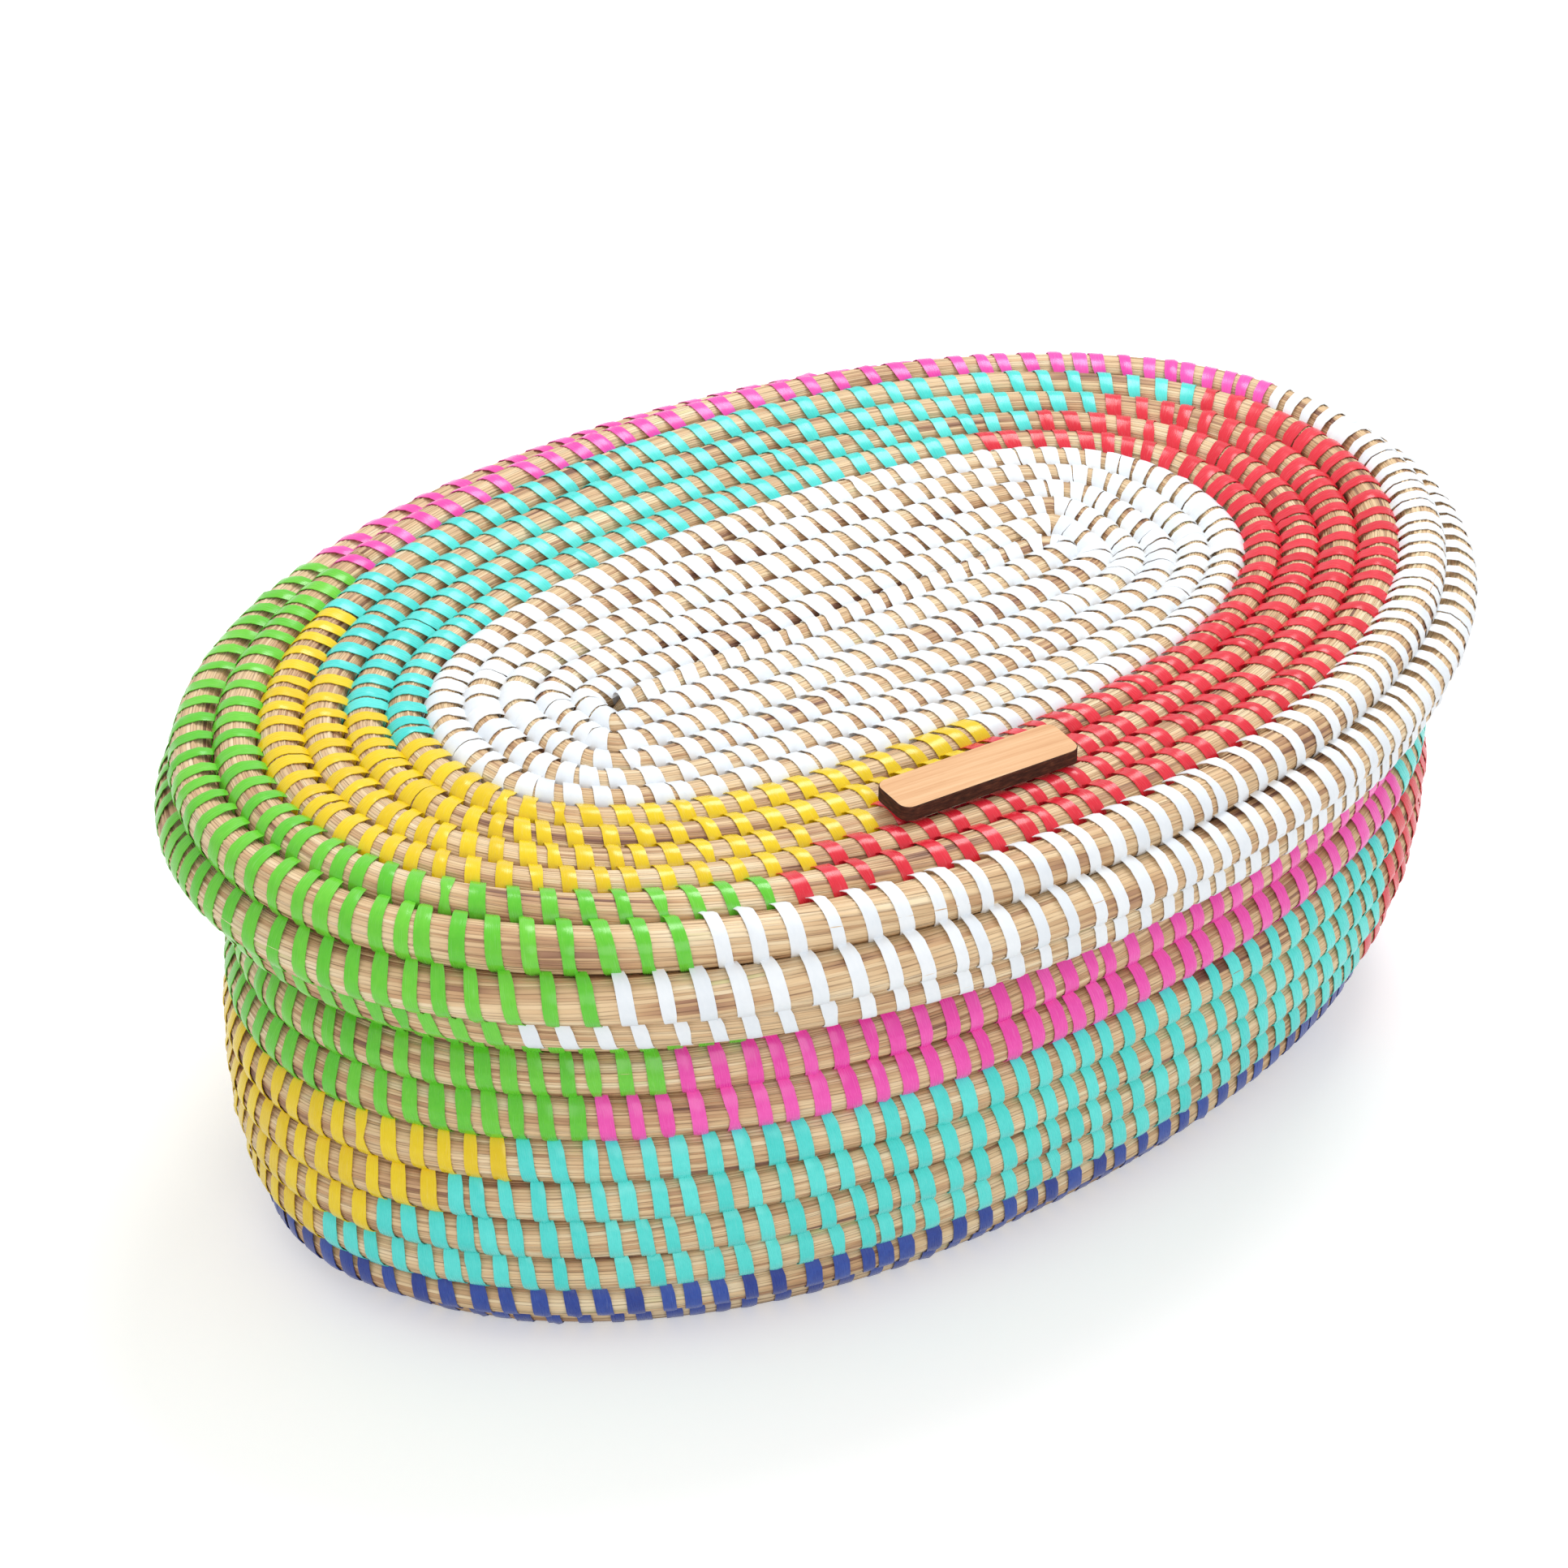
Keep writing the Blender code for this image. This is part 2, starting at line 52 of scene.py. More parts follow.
# the lid
PANEL_HALF_THICK, RIM_HALF_THICK = 0.0050, 0.0056
LID_DISH, LID_CORE_OFFSET, TILT = 0.0024, 0.0022, 0.0284
LID_START_ANGLE, LID_FIRST_ANGLE, CORE_END_GAP = 29.0, 285.0, 0.0058
RIM_FIRST_TABLE, RIM_BLEND, RIM_START, RIM_END = 9.0, 10.0, 10.5, 13.5      # turns
RIM_RADIUS_SHARES = (0.893, 0.892, 0.853, 1.086, 1.035, 1.118, 1.098, 1.029, 0.98, 0.571)
RIM_RADIUS_TURNS = (9.5, 10.0, 10.5, 11.0, 11.5, 12.0, 12.5, 13.0, 13.25, 13.5)
RIM_LEANS = (0.0, 0.053, 0.2125, 1.607, 2.280)                              # radians
RIM_LEAN_TURNS = (10.2, 10.5, 11.0, 12.0, 13.0)
LID_GROWTH = ((0.0366, -0.0104), (-0.0708, 0.0552))                         # sine and cosine, by harmonic
LID_POWER, LID_STRETCH, LID_TWIST = -0.083, (0.0317, -0.0346), (0.0876, -0.0076)
LID_SHIFT, LID_SHIFT_OUT = (0.0016, 0.00225), (-0.0002, -0.00135)
LID_RISE, LID_RISE_MIDDLE = 0.0019, -0.0003
LID_SEAT_GAP, SEAT_DISH_SHARE = 0.0004, 0.93

# the basket
WALL_PITCH, WALL_HALF_THICK, WALL_TOP_IN, WALL_TOP_DROP = 0.011636, 0.0058, 0.0052, 0.0264
SEAM_ANGLE, SEAM_TURN = 156.0, 8.5                                          # where turns are counted from
WALL_LAST_TURN, WALL_FIRST_TURN = 8.6, -1.9                                 # at the base, and at the mouth
WALL_TURNS = (-2.5, -0.5, 0.0, 1.0, 2.0, 3.0, 4.0, 5.0, 6.0, 7.0, 7.5, 8.0, 8.4, 9.0)
WALL_LEANS = (70.0, 76.0, 83.9, 86.2, 89.1, 92.8, 97.4, 103.0, 109.7, 117.1, 129.3, 148.3, 180.0, 180.0)
BASE_TURNS, BASE_FIRST_ANGLE, BASE_FIRST_LEVEL, BASE_CORE_OFFSET = 7.0, 255.0, 0.0030, 0.0026
TOP_COIL_LEAST, TOP_COIL_IN = 0.0028, 0.0032
RIGHT_BULGE, LEFT_BULGE, SHIFT_DEPTH = 0.0180, 0.0011, 0.0833
RIGHT_BULGE_SHARES = (0.44, 0.53, 0.78, 0.97, 1.0, 0.87)
RIGHT_BULGE_DEPTHS = (0.0, 0.18, 0.42, 0.72, 0.96, 1.14)
BASE_SHIFT, WALL_SHIFT, WALL_TWIST, WALL_POWER = (-0.0133, -0.0046), (0.0011, 0.0045), 0.0803, 0.2
EASE_FROM, EASE_TO = 0.0210, 0.0330             # depths, from the lid's oval to the wall's


def oval(angle, level, right_power=0.0, power_more=0.0):
    """Points and outward normals of the oval of a level, a superellipse that is squarer near the core."""
    a = np.radians(angle)
    half_x = CORE_HALF + END_GROW * level - END_DRAW * (1.0 - np.exp(-level / END_DRAW_RUN))
    half_y = np.maximum(level, 0.02 * LEVEL_STEP)
    s, c = np.sin(a), np.cos(a)
    corners = CORE_POWER * np.exp(-(level - LEVEL_STEP) / CORNER_RUN)
    power = OVAL_POWER + power_more + corners - right_power * np.sign(s)
    x = -half_x * np.sign(s) * np.abs(s) ** (2.0 / power)
    y = -half_y * np.sign(c) * np.abs(c) ** (2.0 / power)
    gx = np.sign(x) * np.abs(x / half_x) ** (power - 1.0) / half_x
    gy = np.sign(y) * np.abs(y / half_y) ** (power - 1.0) / half_y
    g = np.hypot(gx, gy)
    return x - CENTRE_DRIFT * level, y, gx / g, gy / g


def running(turns, pitch, lean):
    """How far out and how high a stack of turns has come, from its pitch and its lean."""
    step = turns[1] - turns[0]
    off = np.concatenate([[0.0], np.cumsum((pitch * np.cos(lean))[:-1] * step)])
    return off, np.concatenate([[0.0], -np.cumsum((pitch * np.sin(lean))[:-1] * step)])


def lid_turn(angle):
    """The lid's count of turns at an angle; its spiral grows unevenly."""
    u = (np.asarray(angle, float) + LID_START_ANGLE) / 360.0
    return u + sum(a * np.sin(2 * math.pi * k * u) + b * (np.cos(2 * math.pi * k * u) - 1.0)
                   for k, (a, b) in enumerate(LID_GROWTH, 1))


def lid_place(x, y, out):
    """The lid's own stretch, twist and shift; out is 0 at its middle and 1 at its rim."""
    x, y = x * (1.0 + LID_STRETCH[0] * out), y * (1.0 + LID_STRETCH[1] * out)
    twist = LID_TWIST[0] + LID_TWIST[1] * out
    placed_x = x - twist * y + LID_SHIFT[0] + LID_SHIFT_OUT[0] * out
    return placed_x, y + twist * x + LID_SHIFT[1] + LID_SHIFT_OUT[1] * out


def rim_tables():
    """The rim's turns, each laid against the one before: turn count, way out, height, radius and lean."""
    rt = RIM_FIRST_TABLE + np.arange(1801) / 360.0
    rad = RIM_HALF_THICK * np.interp(rt, RIM_RADIUS_TURNS, RIM_RADIUS_SHARES)
    lean = np.interp(rt, RIM_LEAN_TURNS, RIM_LEANS)
    level = (lid_turn(360.0 * rt - LID_START_ANGLE) - 0.5) * LEVEL_STEP
    off, high = level - LEVEL_TEN, LID_DISH * np.minimum(level / LEVEL_TEN, 1.0) ** 2
    for i in range(361, len(rt)):
        share = min((rt[i] - RIM_BLEND) / (RIM_START - RIM_BLEND), 1.0)
        pitch, mean = rad[i] + rad[i - 360], 0.5 * (lean[i] + lean[i - 360])
        off[i] += share * (off[i - 360] + pitch * math.cos(mean) - off[i])
        high[i] += share * (high[i - 360] - pitch * math.sin(mean) - high[i])
    return rt, off, high, rad, lean


RT, R_OFF, R_HIGH, R_RAD, R_LEAN = rim_tables()

WT = np.linspace(WALL_TURNS[0], 9.5, 2401)
W_LEAN = np.radians(np.interp(WT, WALL_TURNS, WALL_LEANS))
W_OFF, W_HIGH = running(WT, WALL_PITCH, W_LEAN)
W_LEVEL = LEVEL_TEN + W_OFF - WALL_TOP_IN - np.interp(0.0, WT, W_OFF)
W_HIGH = W_HIGH - WALL_TOP_DROP - np.interp(0.0, WT, W_HIGH)
BASE_HEIGHT = float(np.interp(WALL_TURNS[-1], WT, W_HIGH))
LIFT = WALL_HALF_THICK - BASE_HEIGHT
SEAT_HEIGHT = LID_DISH * SEAT_DISH_SHARE + LID_RISE - PANEL_HALF_THICK - LID_SEAT_GAP
MOVE = np.array([0.00285, 0.00069, 0.0])     # puts the middle of the object's box at the origin


def lid_flat(angle):
    """The lid's coil before it is stretched and leaned: x, y, height, way out, radius and lean."""
    u = (angle + LID_START_ANGLE) / 360.0
    level = np.minimum((lid_turn(angle) - 0.5) * LEVEL_STEP, LEVEL_TEN)
    x, y, nx, ny = oval(angle, level, 0.0, LID_POWER * level / LEVEL_TEN)
    rx, ry, nx, ny = oval(angle, np.full(len(angle), LEVEL_TEN), 0.0, LID_POWER)
    off = np.interp(u, RT, R_OFF)
    share = np.clip((u - RIM_BLEND) / (RIM_START - RIM_BLEND), 0.0, 1.0)
    x, y = x + share * (rx + nx * off - x), y + share * (ry + ny * off - y)
    rim = u > RIM_BLEND
    high = np.where(rim, np.interp(u, RT, R_HIGH), LID_DISH * (level / LEVEL_TEN) ** 2)
    rad = np.where(u > RIM_RADIUS_TURNS[0], np.interp(u, RT, R_RAD), PANEL_HALF_THICK)
    lean = np.where(rim, np.interp(u, RT, R_LEAN), 0.0)
    return x, y, high, (level + share * (LEVEL_TEN - level)) / LEVEL_TEN, rad, lean


def lid_points(angle):
    x, y, high, out, rad, lean = lid_flat(angle)
    x, y = lid_place(x, y, out)
    return np.stack([x, y, high + LID_RISE + LID_RISE_MIDDLE * (1.0 - out ** 2)], 1), rad, lean


# travel is the angle along the basket's coil, from the middle of the base up to the mouth
FIRST_TRAVEL = (SEAM_ANGLE - BASE_FIRST_ANGLE) % 360.0 - 360.0 * BASE_TURNS
BASE_TURN = SEAM_TURN - FIRST_TRAVEL / 360.0
BASE_STEP = (float(np.interp(WALL_LAST_TURN, WT, W_LEVEL)) - BASE_FIRST_LEVEL) / (BASE_TURN - WALL_LAST_TURN)


def wall_points(travel):
    """The basket's coil: points, radius and lean. Turns are counted from the mouth down."""
    s = SEAM_TURN - travel / 360.0
    angle = SEAM_ANGLE - travel
    base = s > WALL_LAST_TURN
    level = np.where(base, BASE_FIRST_LEVEL + (BASE_TURN - s) * BASE_STEP, np.interp(s, WT, W_LEVEL))
    lean = np.where(base, math.pi, np.interp(s, WT, W_LEAN))
    high = np.interp(s, WT, W_HIGH)
    rad = np.full(len(s), WALL_HALF_THICK)
    below = np.interp(s + 1.0, WT, W_HIGH) + WALL_HALF_THICK
    seat_x = lid_place(*oval(angle, level)[:2], 1.0)[0]
    flat, steep = np.abs(np.cos(lean)), np.abs(np.sin(lean))
    reach = WALL_HALF_THICK * np.maximum(flat + 0.5 * steep, steep)
    high = np.maximum(high, BASE_HEIGHT - WALL_HALF_THICK + reach)
    fit = 0.5 * (SEAT_HEIGHT - TILT * seat_x - below)
    tight = (fit < rad) & ~base
    rad = np.where(tight, np.maximum(fit, TOP_COIL_LEAST), rad)
    high = np.where(tight, below + rad, high)
    high = np.where(base, BASE_HEIGHT, high)
    ease = np.clip((-high - EASE_FROM) / (EASE_TO - EASE_FROM), 0.0, 1.0)
    x, y, nx, ny = oval(angle, level, WALL_POWER * ease)
    depth = np.maximum(0.0, -high - 2.0 * LEVEL_STEP)
    right = RIGHT_BULGE * np.interp(depth / SHIFT_DEPTH, RIGHT_BULGE_DEPTHS, RIGHT_BULGE_SHARES)
    side = np.where(nx > 0.0, right, LEFT_BULGE) * nx * nx
    top_x, top_y = lid_place(x - nx * TOP_COIL_IN, y - ny * TOP_COIL_IN, 1.0)
    x = x + nx * side + BASE_SHIFT[0] * depth / SHIFT_DEPTH + WALL_SHIFT[0]
    y = y + ny * side + BASE_SHIFT[1] * depth / SHIFT_DEPTH + WALL_SHIFT[1]
    x, y = x - WALL_TWIST * y, y + WALL_TWIST * x
    return np.stack([top_x + ease * (x - top_x), top_y + ease * (y - top_y), LIFT + high], 1), rad, lean


def smooth(values, sigma):
    """A running mean with Gaussian weights, its ends mirrored through the end values."""
    n = int(4 * sigma)
    k = np.exp(-0.5 * (np.arange(-n, n + 1) / sigma) ** 2)
    k /= k.sum()
    flat = values.reshape(len(values), -1)
    cols = []
    for j in range(flat.shape[1]):
        ends = 2 * flat[0, j] - flat[n:0:-1, j], 2 * flat[-1, j] - flat[-2:-n - 2:-1, j]
        cols.append(np.convolve(np.concatenate([ends[0], flat[:, j], ends[1]]), k, mode="valid"))
    return np.stack(cols, 1).reshape(values.shape)


STEP = 0.0005                       # between the stored points of a path
FAR_ALONG, NEAR = 0.014, 0.016      # a neighbouring turn is this far off along the coil, and this near across


class Path:
    """A coil's centre line on even half-millimetre steps, with its section axes, radius and room to each side."""

    def __init__(self, points, rads, leans, params, clockwise, finish):
        seg = np.linalg.norm(np.diff(points, axis=0), axis=1)
        keep = np.concatenate([[True], seg > 1e-7])
        points, rads, leans, params = points[keep], rads[keep], leans[keep], params[keep]
        run = np.concatenate([[0.0], np.cumsum(np.linalg.norm(np.diff(points, axis=0), axis=1))])
        self.step = STEP
        s = np.arange(0.0, run[-1], STEP)
        p = np.stack([np.interp(s, run, points[:, j]) for j in range(3)], 1)
        self.p = smooth(p, 4.0)
        self.rad = smooth(np.interp(s, run, rads), 12.0)
        lean = smooth(np.interp(s, run, leans), 12.0)
        self.param = np.interp(s, run, params)
        t = np.gradient(self.p, axis=0)
        t /= np.linalg.norm(t, axis=1)[:, None]
        up = np.array([0.0, 0.0, 1.0])
        out = np.cross(up, t) if clockwise else np.cross(t, up)
        out /= np.linalg.norm(out, axis=1)[:, None]
        c, n = np.cos(lean)[:, None], np.sin(lean)[:, None]
        self.t, self.a1, self.a2 = t, c * out - n * up, n * out + c * up
        self.sign = 1.0 if clockwise else -1.0
        self.half = self.rad - 0.0001 - 0.00035 * (lean > 2.9)      # the base lies a little off the floor
        self.length = s[-1]
        self.room()
        self.p = finish(self.p)

    def room(self):
        """Half the distance to the neighbouring turns, towards the next turn (+a1) and the one before (-a1)."""
        pts = self.p[::4]
        every = np.arange(0, len(self.p), 16)
        nxt, prv, turn_n, turn_p = (np.zeros(len(every)) for _ in range(4))
        for n, i in enumerate(every):
            d = pts - self.p[i]
            dist = np.linalg.norm(d, axis=1)
            far = (np.abs(np.arange(len(pts)) * 4 - i) * STEP > FAR_ALONG) & (dist < NEAR)
            side = d @ self.a1[i]
            fore = np.abs(d @ self.t[i]) < 0.004
            a, b = far & fore & (side > 0.3 * dist), far & fore & (side < -0.3 * dist)
            ways = []
            for mask, way in ((a, 1.0), (b, -1.0)):
                if mask.any():
                    v = way * d[np.where(mask, dist, 1.0).argmin()]
                    ways.append((0.5 * dist[mask].min(), math.atan2(v @ self.a2[i], v @ self.a1[i])))
                else:
                    ways.append(None)
            other = ways[0] or ways[1] or (0.0, 0.0)
            nxt[n], turn_n[n] = ways[0] or (0.0, (ways[1] or other)[1])
            prv[n], turn_p[n] = ways[1] or (0.0, other[1])
        r = self.rad[every]
        cap = np.maximum(r * 1.14, 0.0040)
        nxt = np.where(nxt > 0, np.minimum(nxt, cap), r * 1.04)
        prv = np.where(prv > 0, np.minimum(prv, cap), r * 1.04)
        for name, values in (("next", nxt), ("prev", prv), ("turn_n", turn_n), ("turn_p", turn_p)):
            setattr(self, name, np.interp(np.arange(len(self.p)), every, smooth(values, 1.2)))

    def at(self, field, s):
        """A field's value at lengths s along the coil."""
        i = np.clip(np.asarray(s) / self.step, 0, len(self.p) - 1.001)
        lo = i.astype(int)
        f = i - lo
        v = getattr(self, field)
        if v.ndim == 2:
            f = f[..., None]
        return v[lo] * (1 - f) + v[lo + 1] * f


def turned(x1, x2, share, turn_n, turn_p):
    """Section coordinates turned so that the sides face the neighbouring turns; share runs 0 to 1 from -a1 to +a1."""
    a = turn_n * share + turn_p * (1.0 - share)
    return x1 * np.cos(a) - x2 * np.sin(a), x1 * np.sin(a) + x2 * np.cos(a)


def lid_world(p):
    """From the lid's own frame to the world: leaned, lifted onto the wall and moved."""
    x, y, z = p[:, 0], p[:, 1], p[:, 2]
    return np.stack([x + TILT * z, y, z - TILT * x + LIFT], 1) + MOVE


def lid_path():
    angles = np.arange(LID_FIRST_ANGLE, 360.0 * RIM_END - LID_START_ANGLE, 0.25)
    p, r, lean = lid_points(angles)
    x0, y0, _, out, _, _ = (float(v[0]) for v in lid_flat(np.array([LID_FIRST_ANGLE])))
    right = x0 - 0.5 * LEVEL_STEP
    left = float(lid_flat(np.array([450.0]))[0][0]) + CORE_END_GAP
    core = [(left + u * (right - left), LID_CORE_OFFSET) for u in np.linspace(0, 1, 60)]
    core.append((0.4 * right + 0.6 * x0, 0.5 * (LID_CORE_OFFSET + y0)))
    core = [(*lid_place(x, y, out), p[0, 2]) for x, y in core]
    n = len(core)
    par = np.concatenate([LID_FIRST_ANGLE - 0.9 * np.arange(n, 0, -1), angles])
    return Path(np.concatenate([core, p]), np.concatenate([np.full(n, PANEL_HALF_THICK), r]),
                np.concatenate([np.zeros(n), lean]), par, True, lid_world)


def basket_path():
    travel = np.arange(FIRST_TRAVEL, 360.0 * (SEAM_TURN - WALL_FIRST_TURN), 0.25)
    p, r, lean = wall_points(travel)
    depth = -BASE_HEIGHT - 2.0 * LEVEL_STEP
    y0 = BASE_SHIFT[1] * depth / SHIFT_DEPTH + WALL_SHIFT[1] - BASE_CORE_OFFSET
    right = p[0, 0] - 0.5 * LEVEL_STEP
    left = wall_points(np.array([SEAM_ANGLE - 90.0 - 360.0 * 6.0]))[0][0, 0] + CORE_END_GAP
    core = [(x, y0 + WALL_TWIST * x, p[0, 2]) for x in np.linspace(left, right, 60)]
    core.append((0.4 * core[-1][0] + 0.6 * p[0, 0], 0.5 * (core[-1][1] + p[0, 1]), p[0, 2]))
    n = len(core)
    par = np.concatenate([FIRST_TRAVEL - 0.9 * np.arange(n, 0, -1), travel])
    return Path(np.concatenate([core, p]), np.concatenate([np.full(n, WALL_HALF_THICK), r]),
                np.concatenate([np.full(n, math.pi), lean]), par, False, lambda q: q + MOVE)


LID, BASKET = lid_path(), basket_path()


def path_at(path, param):
    """The length along a path at which its angle or travel is param."""
    return float(np.interp(param, path.param, np.arange(len(path.p)) * path.step))


LID_SPLIT = path_at(LID, 360.0 * RIM_START - LID_START_ANGLE)
BASKET_SPLIT = path_at(BASKET, 360.0 * (SEAM_TURN - WALL_LAST_TURN))


# ------------------------------------------------------------------ helpers for meshes and materials
def srgb(r, g, b):
    """A linear colour from 8-bit display values."""
    return tuple((v / 255.0 / 12.92 if v <= 10 else ((v / 255.0 + 0.055) / 1.055) ** 2.4) for v in (r, g, b)) + (1.0,)


def mesh_object(name, verts, quads, mat, uv=None, tone=None, sharp=None):
    """A mesh object from arrays: verts (n, 3), quads (m, 4), a UV pair for each corner and a tone for each vertex."""
    mesh = bpy.data.meshes.new(name)
    mesh.vertices.add(len(verts))
    mesh.vertices.foreach_set("co", np.asarray(verts, np.float32).ravel())
    quads = np.asarray(quads, np.int32)
    mesh.loops.add(quads.size)
    mesh.loops.foreach_set("vertex_index", quads.ravel())
    mesh.polygons.add(len(quads))
    mesh.polygons.foreach_set("loop_start", np.arange(0, quads.size, 4, dtype=np.int32))
    mesh.update(calc_edges=True)
    if uv is not None:
        layer = mesh.uv_layers.new(name="lay")
        layer.data.foreach_set("uv", np.asarray(uv, np.float32).ravel())
    if tone is not None:
        att = mesh.attributes.new("tone", "FLOAT", "POINT")
        att.data.foreach_set("value", np.asarray(tone, np.float32).ravel())
    mesh.shade_smooth()
    if sharp:
        mesh.set_sharp_from_angle(angle=math.radians(sharp))
    mesh.materials.append(mat)
    obj = bpy.data.objects.new(name, mesh)
    bpy.context.scene.collection.objects.link(obj)
    return obj


class Graph:
    """A short way to write a node material."""

    def __init__(self, name):
        self.mat = bpy.data.materials.new(name)
        self.mat.use_nodes = True
        self.tree = self.mat.node_tree
        self.bsdf = self.tree.nodes["Principled BSDF"]

    def set(self, **values):
        for key, value in values.items():
            self.bsdf.inputs[key.replace("_", " ")].default_value = value

    def node(self, kind, inputs=(), **props):
        n = self.tree.nodes.new("ShaderNode" + kind)
        for key, value in props.items():
            setattr(n, key, value)
        for key, value in dict(inputs).items():
            self.put(n.inputs[key], value)
        return n

    def put(self, socket, value):
        if hasattr(value, "is_output"):
            self.tree.links.new(value, socket)
        else:
            socket.default_value = value

    def math(self, op, a, b=0.0, c=0.0, clamp=False):
        n = self.node("Math", {0: a, 1: b, 2: c}, operation=op, use_clamp=clamp)
        return n.outputs[0]

    def mix(self, fac, a, b, blend="MIX"):
        n = self.node("Mix", data_type="RGBA", blend_type=blend)
        self.put(n.inputs[0], fac)
        self.put(n.inputs[6], a)
        self.put(n.inputs[7], b)
        return n.outputs[2]

    def ramp(self, fac, stops):
        n = self.node("ValToRGB", {0: fac})
        while len(n.color_ramp.elements) < len(stops):
            n.color_ramp.elements.new(0.5)
        for e, (pos, col) in zip(n.color_ramp.elements, stops):
            e.position, e.color = pos, col
        return n.outputs[0]

    def vec(self, x, y, z=0.0):
        return self.node("CombineXYZ", {0: x, 1: y, 2: z}).outputs[0]

    def uv(self):
        sep = self.node("SeparateXYZ", {0: self.node("UVMap", uv_map="lay").outputs[0]})
        return sep.outputs[0], sep.outputs[1]

    def noise(self, vector, scale=1.0, detail=2.0, rough=0.5):
        inputs = {"Vector": vector, "Scale": scale, "Detail": detail, "Roughness": rough}
        return self.node("TexNoise", inputs, noise_dimensions="3D").outputs[0]

    def stretched(self, x, y, z, by, detail, rough=0.5):
        """Noise over coordinates that are each scaled by their own factor."""
        scaled = [self.math("MULTIPLY", v, f) for v, f in zip((x, y, z), by)]
        return self.noise(self.vec(*scaled), 1.0, detail, rough)

    def between(self, value, low, high, at_low, at_high):
        return self.node("MapRange", {0: value, 1: low, 2: high, 3: at_low, 4: at_high}).outputs[0]

    def bump(self, height, distance, strength):
        """Sets the shader's normal from a height."""
        n = self.node("Bump", {"Height": height, "Distance": distance, "Strength": strength})
        self.put(self.bsdf.inputs["Normal"], n.outputs[0])


def straw_material(name, seed):
    """Dry grass stalks side by side, as the ridges of the bundle lie: each of its own tones, with painted shade in
    the gaps between stalks.
    """
    g = Graph(name)
    u, v = g.uv()
    sway = g.noise(g.vec(g.math("MULTIPLY", u, 0.22), g.math("MULTIPLY", v, 0.35), seed), 1.0, 1.0)
    across = g.math("ADD", v, g.math("MULTIPLY_ADD", sway, 0.9, -0.45))

    def stalks(shift, width, length):
        """A tone that changes slowly along each stalk, and how far across it a point is, from 0 to 1."""
        at = g.math("MULTIPLY_ADD", across, 1.0 / width, shift)
        col = g.math("FLOOR", at)
        place_at = g.vec(g.math("MULTIPLY", u, 1.0 / length), g.math("MULTIPLY", col, 17.3), seed + shift)
        return g.between(g.noise(place_at, 1.0, 1.0), 0.27, 0.73, 0.0, 1.0), g.math("SUBTRACT", at, col)

    fine, fine_at = stalks(0.0, 0.72, 4.5)
    broad, broad_at = stalks(0.37, 2.3, 6.0)
    patch = g.noise(g.vec(g.math("MULTIPLY", u, 0.20), g.math("MULTIPLY", v, 0.09), seed + 4.0), 1.0, 2.0)
    tone = g.math("MULTIPLY_ADD", broad, 0.42, g.math("MULTIPLY", fine, 0.50))
    tone = g.math("ADD", tone, g.math("MULTIPLY_ADD", patch, 1.3, -0.66))
    colour = g.ramp(tone, [
        (0.0, srgb(128, 88, 70)), (0.10, srgb(168, 124, 94)), (0.24, srgb(204, 162, 120)),
        (0.42, srgb(226, 192, 148)), (0.62, srgb(237, 208, 166)), (0.82, srgb(245, 224, 188)),
        (0.97, srgb(218, 206, 152))])
    streak = g.noise(g.vec(g.math("MULTIPLY", u, 0.35), g.math("MULTIPLY", across, 3.4), seed + 3.0), 1.0, 3.0, 0.6)
    grain = g.ramp(streak, [
        (0.30, (0.88, 0.86, 0.83, 1.0)), (0.5, (1.0, 1.0, 1.0, 1.0)), (0.75, (1.05, 1.05, 1.03, 1.0))])
    colour = g.mix(1.0, colour, grain, "MULTIPLY")
    # painted shade: the gaps between stalks darken to dark brown near each stalk's edges, and this noise makes that
    # shade patchy along the coil
    seam_shade_patches = g.noise(g.vec(g.math("MULTIPLY", u, 0.9), g.math("MULTIPLY", v, 0.9), seed + 7.0), 1.0, 1.0)
    seam_shade = None
    for at, edge, deep in ((fine_at, 0.16, 0.50), (broad_at, 0.08, 0.78)):
        side = g.math("MINIMUM", at, g.math("SUBTRACT", 1.0, at))
        line = g.between(side, 0.0, edge, deep, 0.0)
        seam_shade = line if seam_shade is None else g.math("MAXIMUM", seam_shade, line)
    seam_shade = g.math("MULTIPLY", seam_shade, g.between(seam_shade_patches, 0.34, 0.62, 0.15, 1.0))
    # the dark brown of the painted shade in the gaps between stalks
    colour = g.mix(seam_shade, colour, srgb(112, 76, 50))
    g.put(g.bsdf.inputs["Base Color"], colour)
    g.set(Roughness=0.48, Specular_IOR_Level=0.45)
    dome = g.math("SINE", g.math("MULTIPLY", fine_at, math.pi))
    height = g.math("ADD", g.math("SQRT", dome), g.math("MULTIPLY", streak, 0.3))
    g.bump(height, 0.00016, 0.7)
    return g.mat


def strip_material(name, light, deep, rough):
    """A flat strip of polythene: soft sheen, fine lengthwise lines, each stitch a little lighter or deeper."""
    g = Graph(name)
    u, v = g.uv()
    tone = g.node("Attribute", attribute_name="tone").outputs["Fac"]
    lines = g.stretched(u, v, tone, (0.4, 4.0, 40.0), 2.0)
    cloud = g.noise(g.vec(g.math("MULTIPLY", u, 0.8), v, g.math("MULTIPLY", tone, 31.0)), 1.0, 2.0)
    clouded = g.math("MULTIPLY", g.math("SUBTRACT", cloud, 0.5), 0.7)
    colour = g.mix(g.math("ADD", g.math("MULTIPLY", tone, 0.6), clouded, clamp=True), deep, light)
    scuff = g.ramp(lines, [(0.60, (0.0, 0.0, 0.0, 1.0)), (0.78, (1.0, 1.0, 1.0, 1.0))])
    colour = g.mix(g.math("MULTIPLY", scuff, 0.06), colour, srgb(255, 255, 255))
    g.put(g.bsdf.inputs["Base Color"], colour)
    g.set(Specular_IOR_Level=0.5, IOR=1.5)
    g.put(g.bsdf.inputs["Roughness"], g.between(lines, 0.3, 0.75, rough - 0.06, rough + 0.12))
    g.bump(lines, 0.00005, 0.4)
    return g.mat


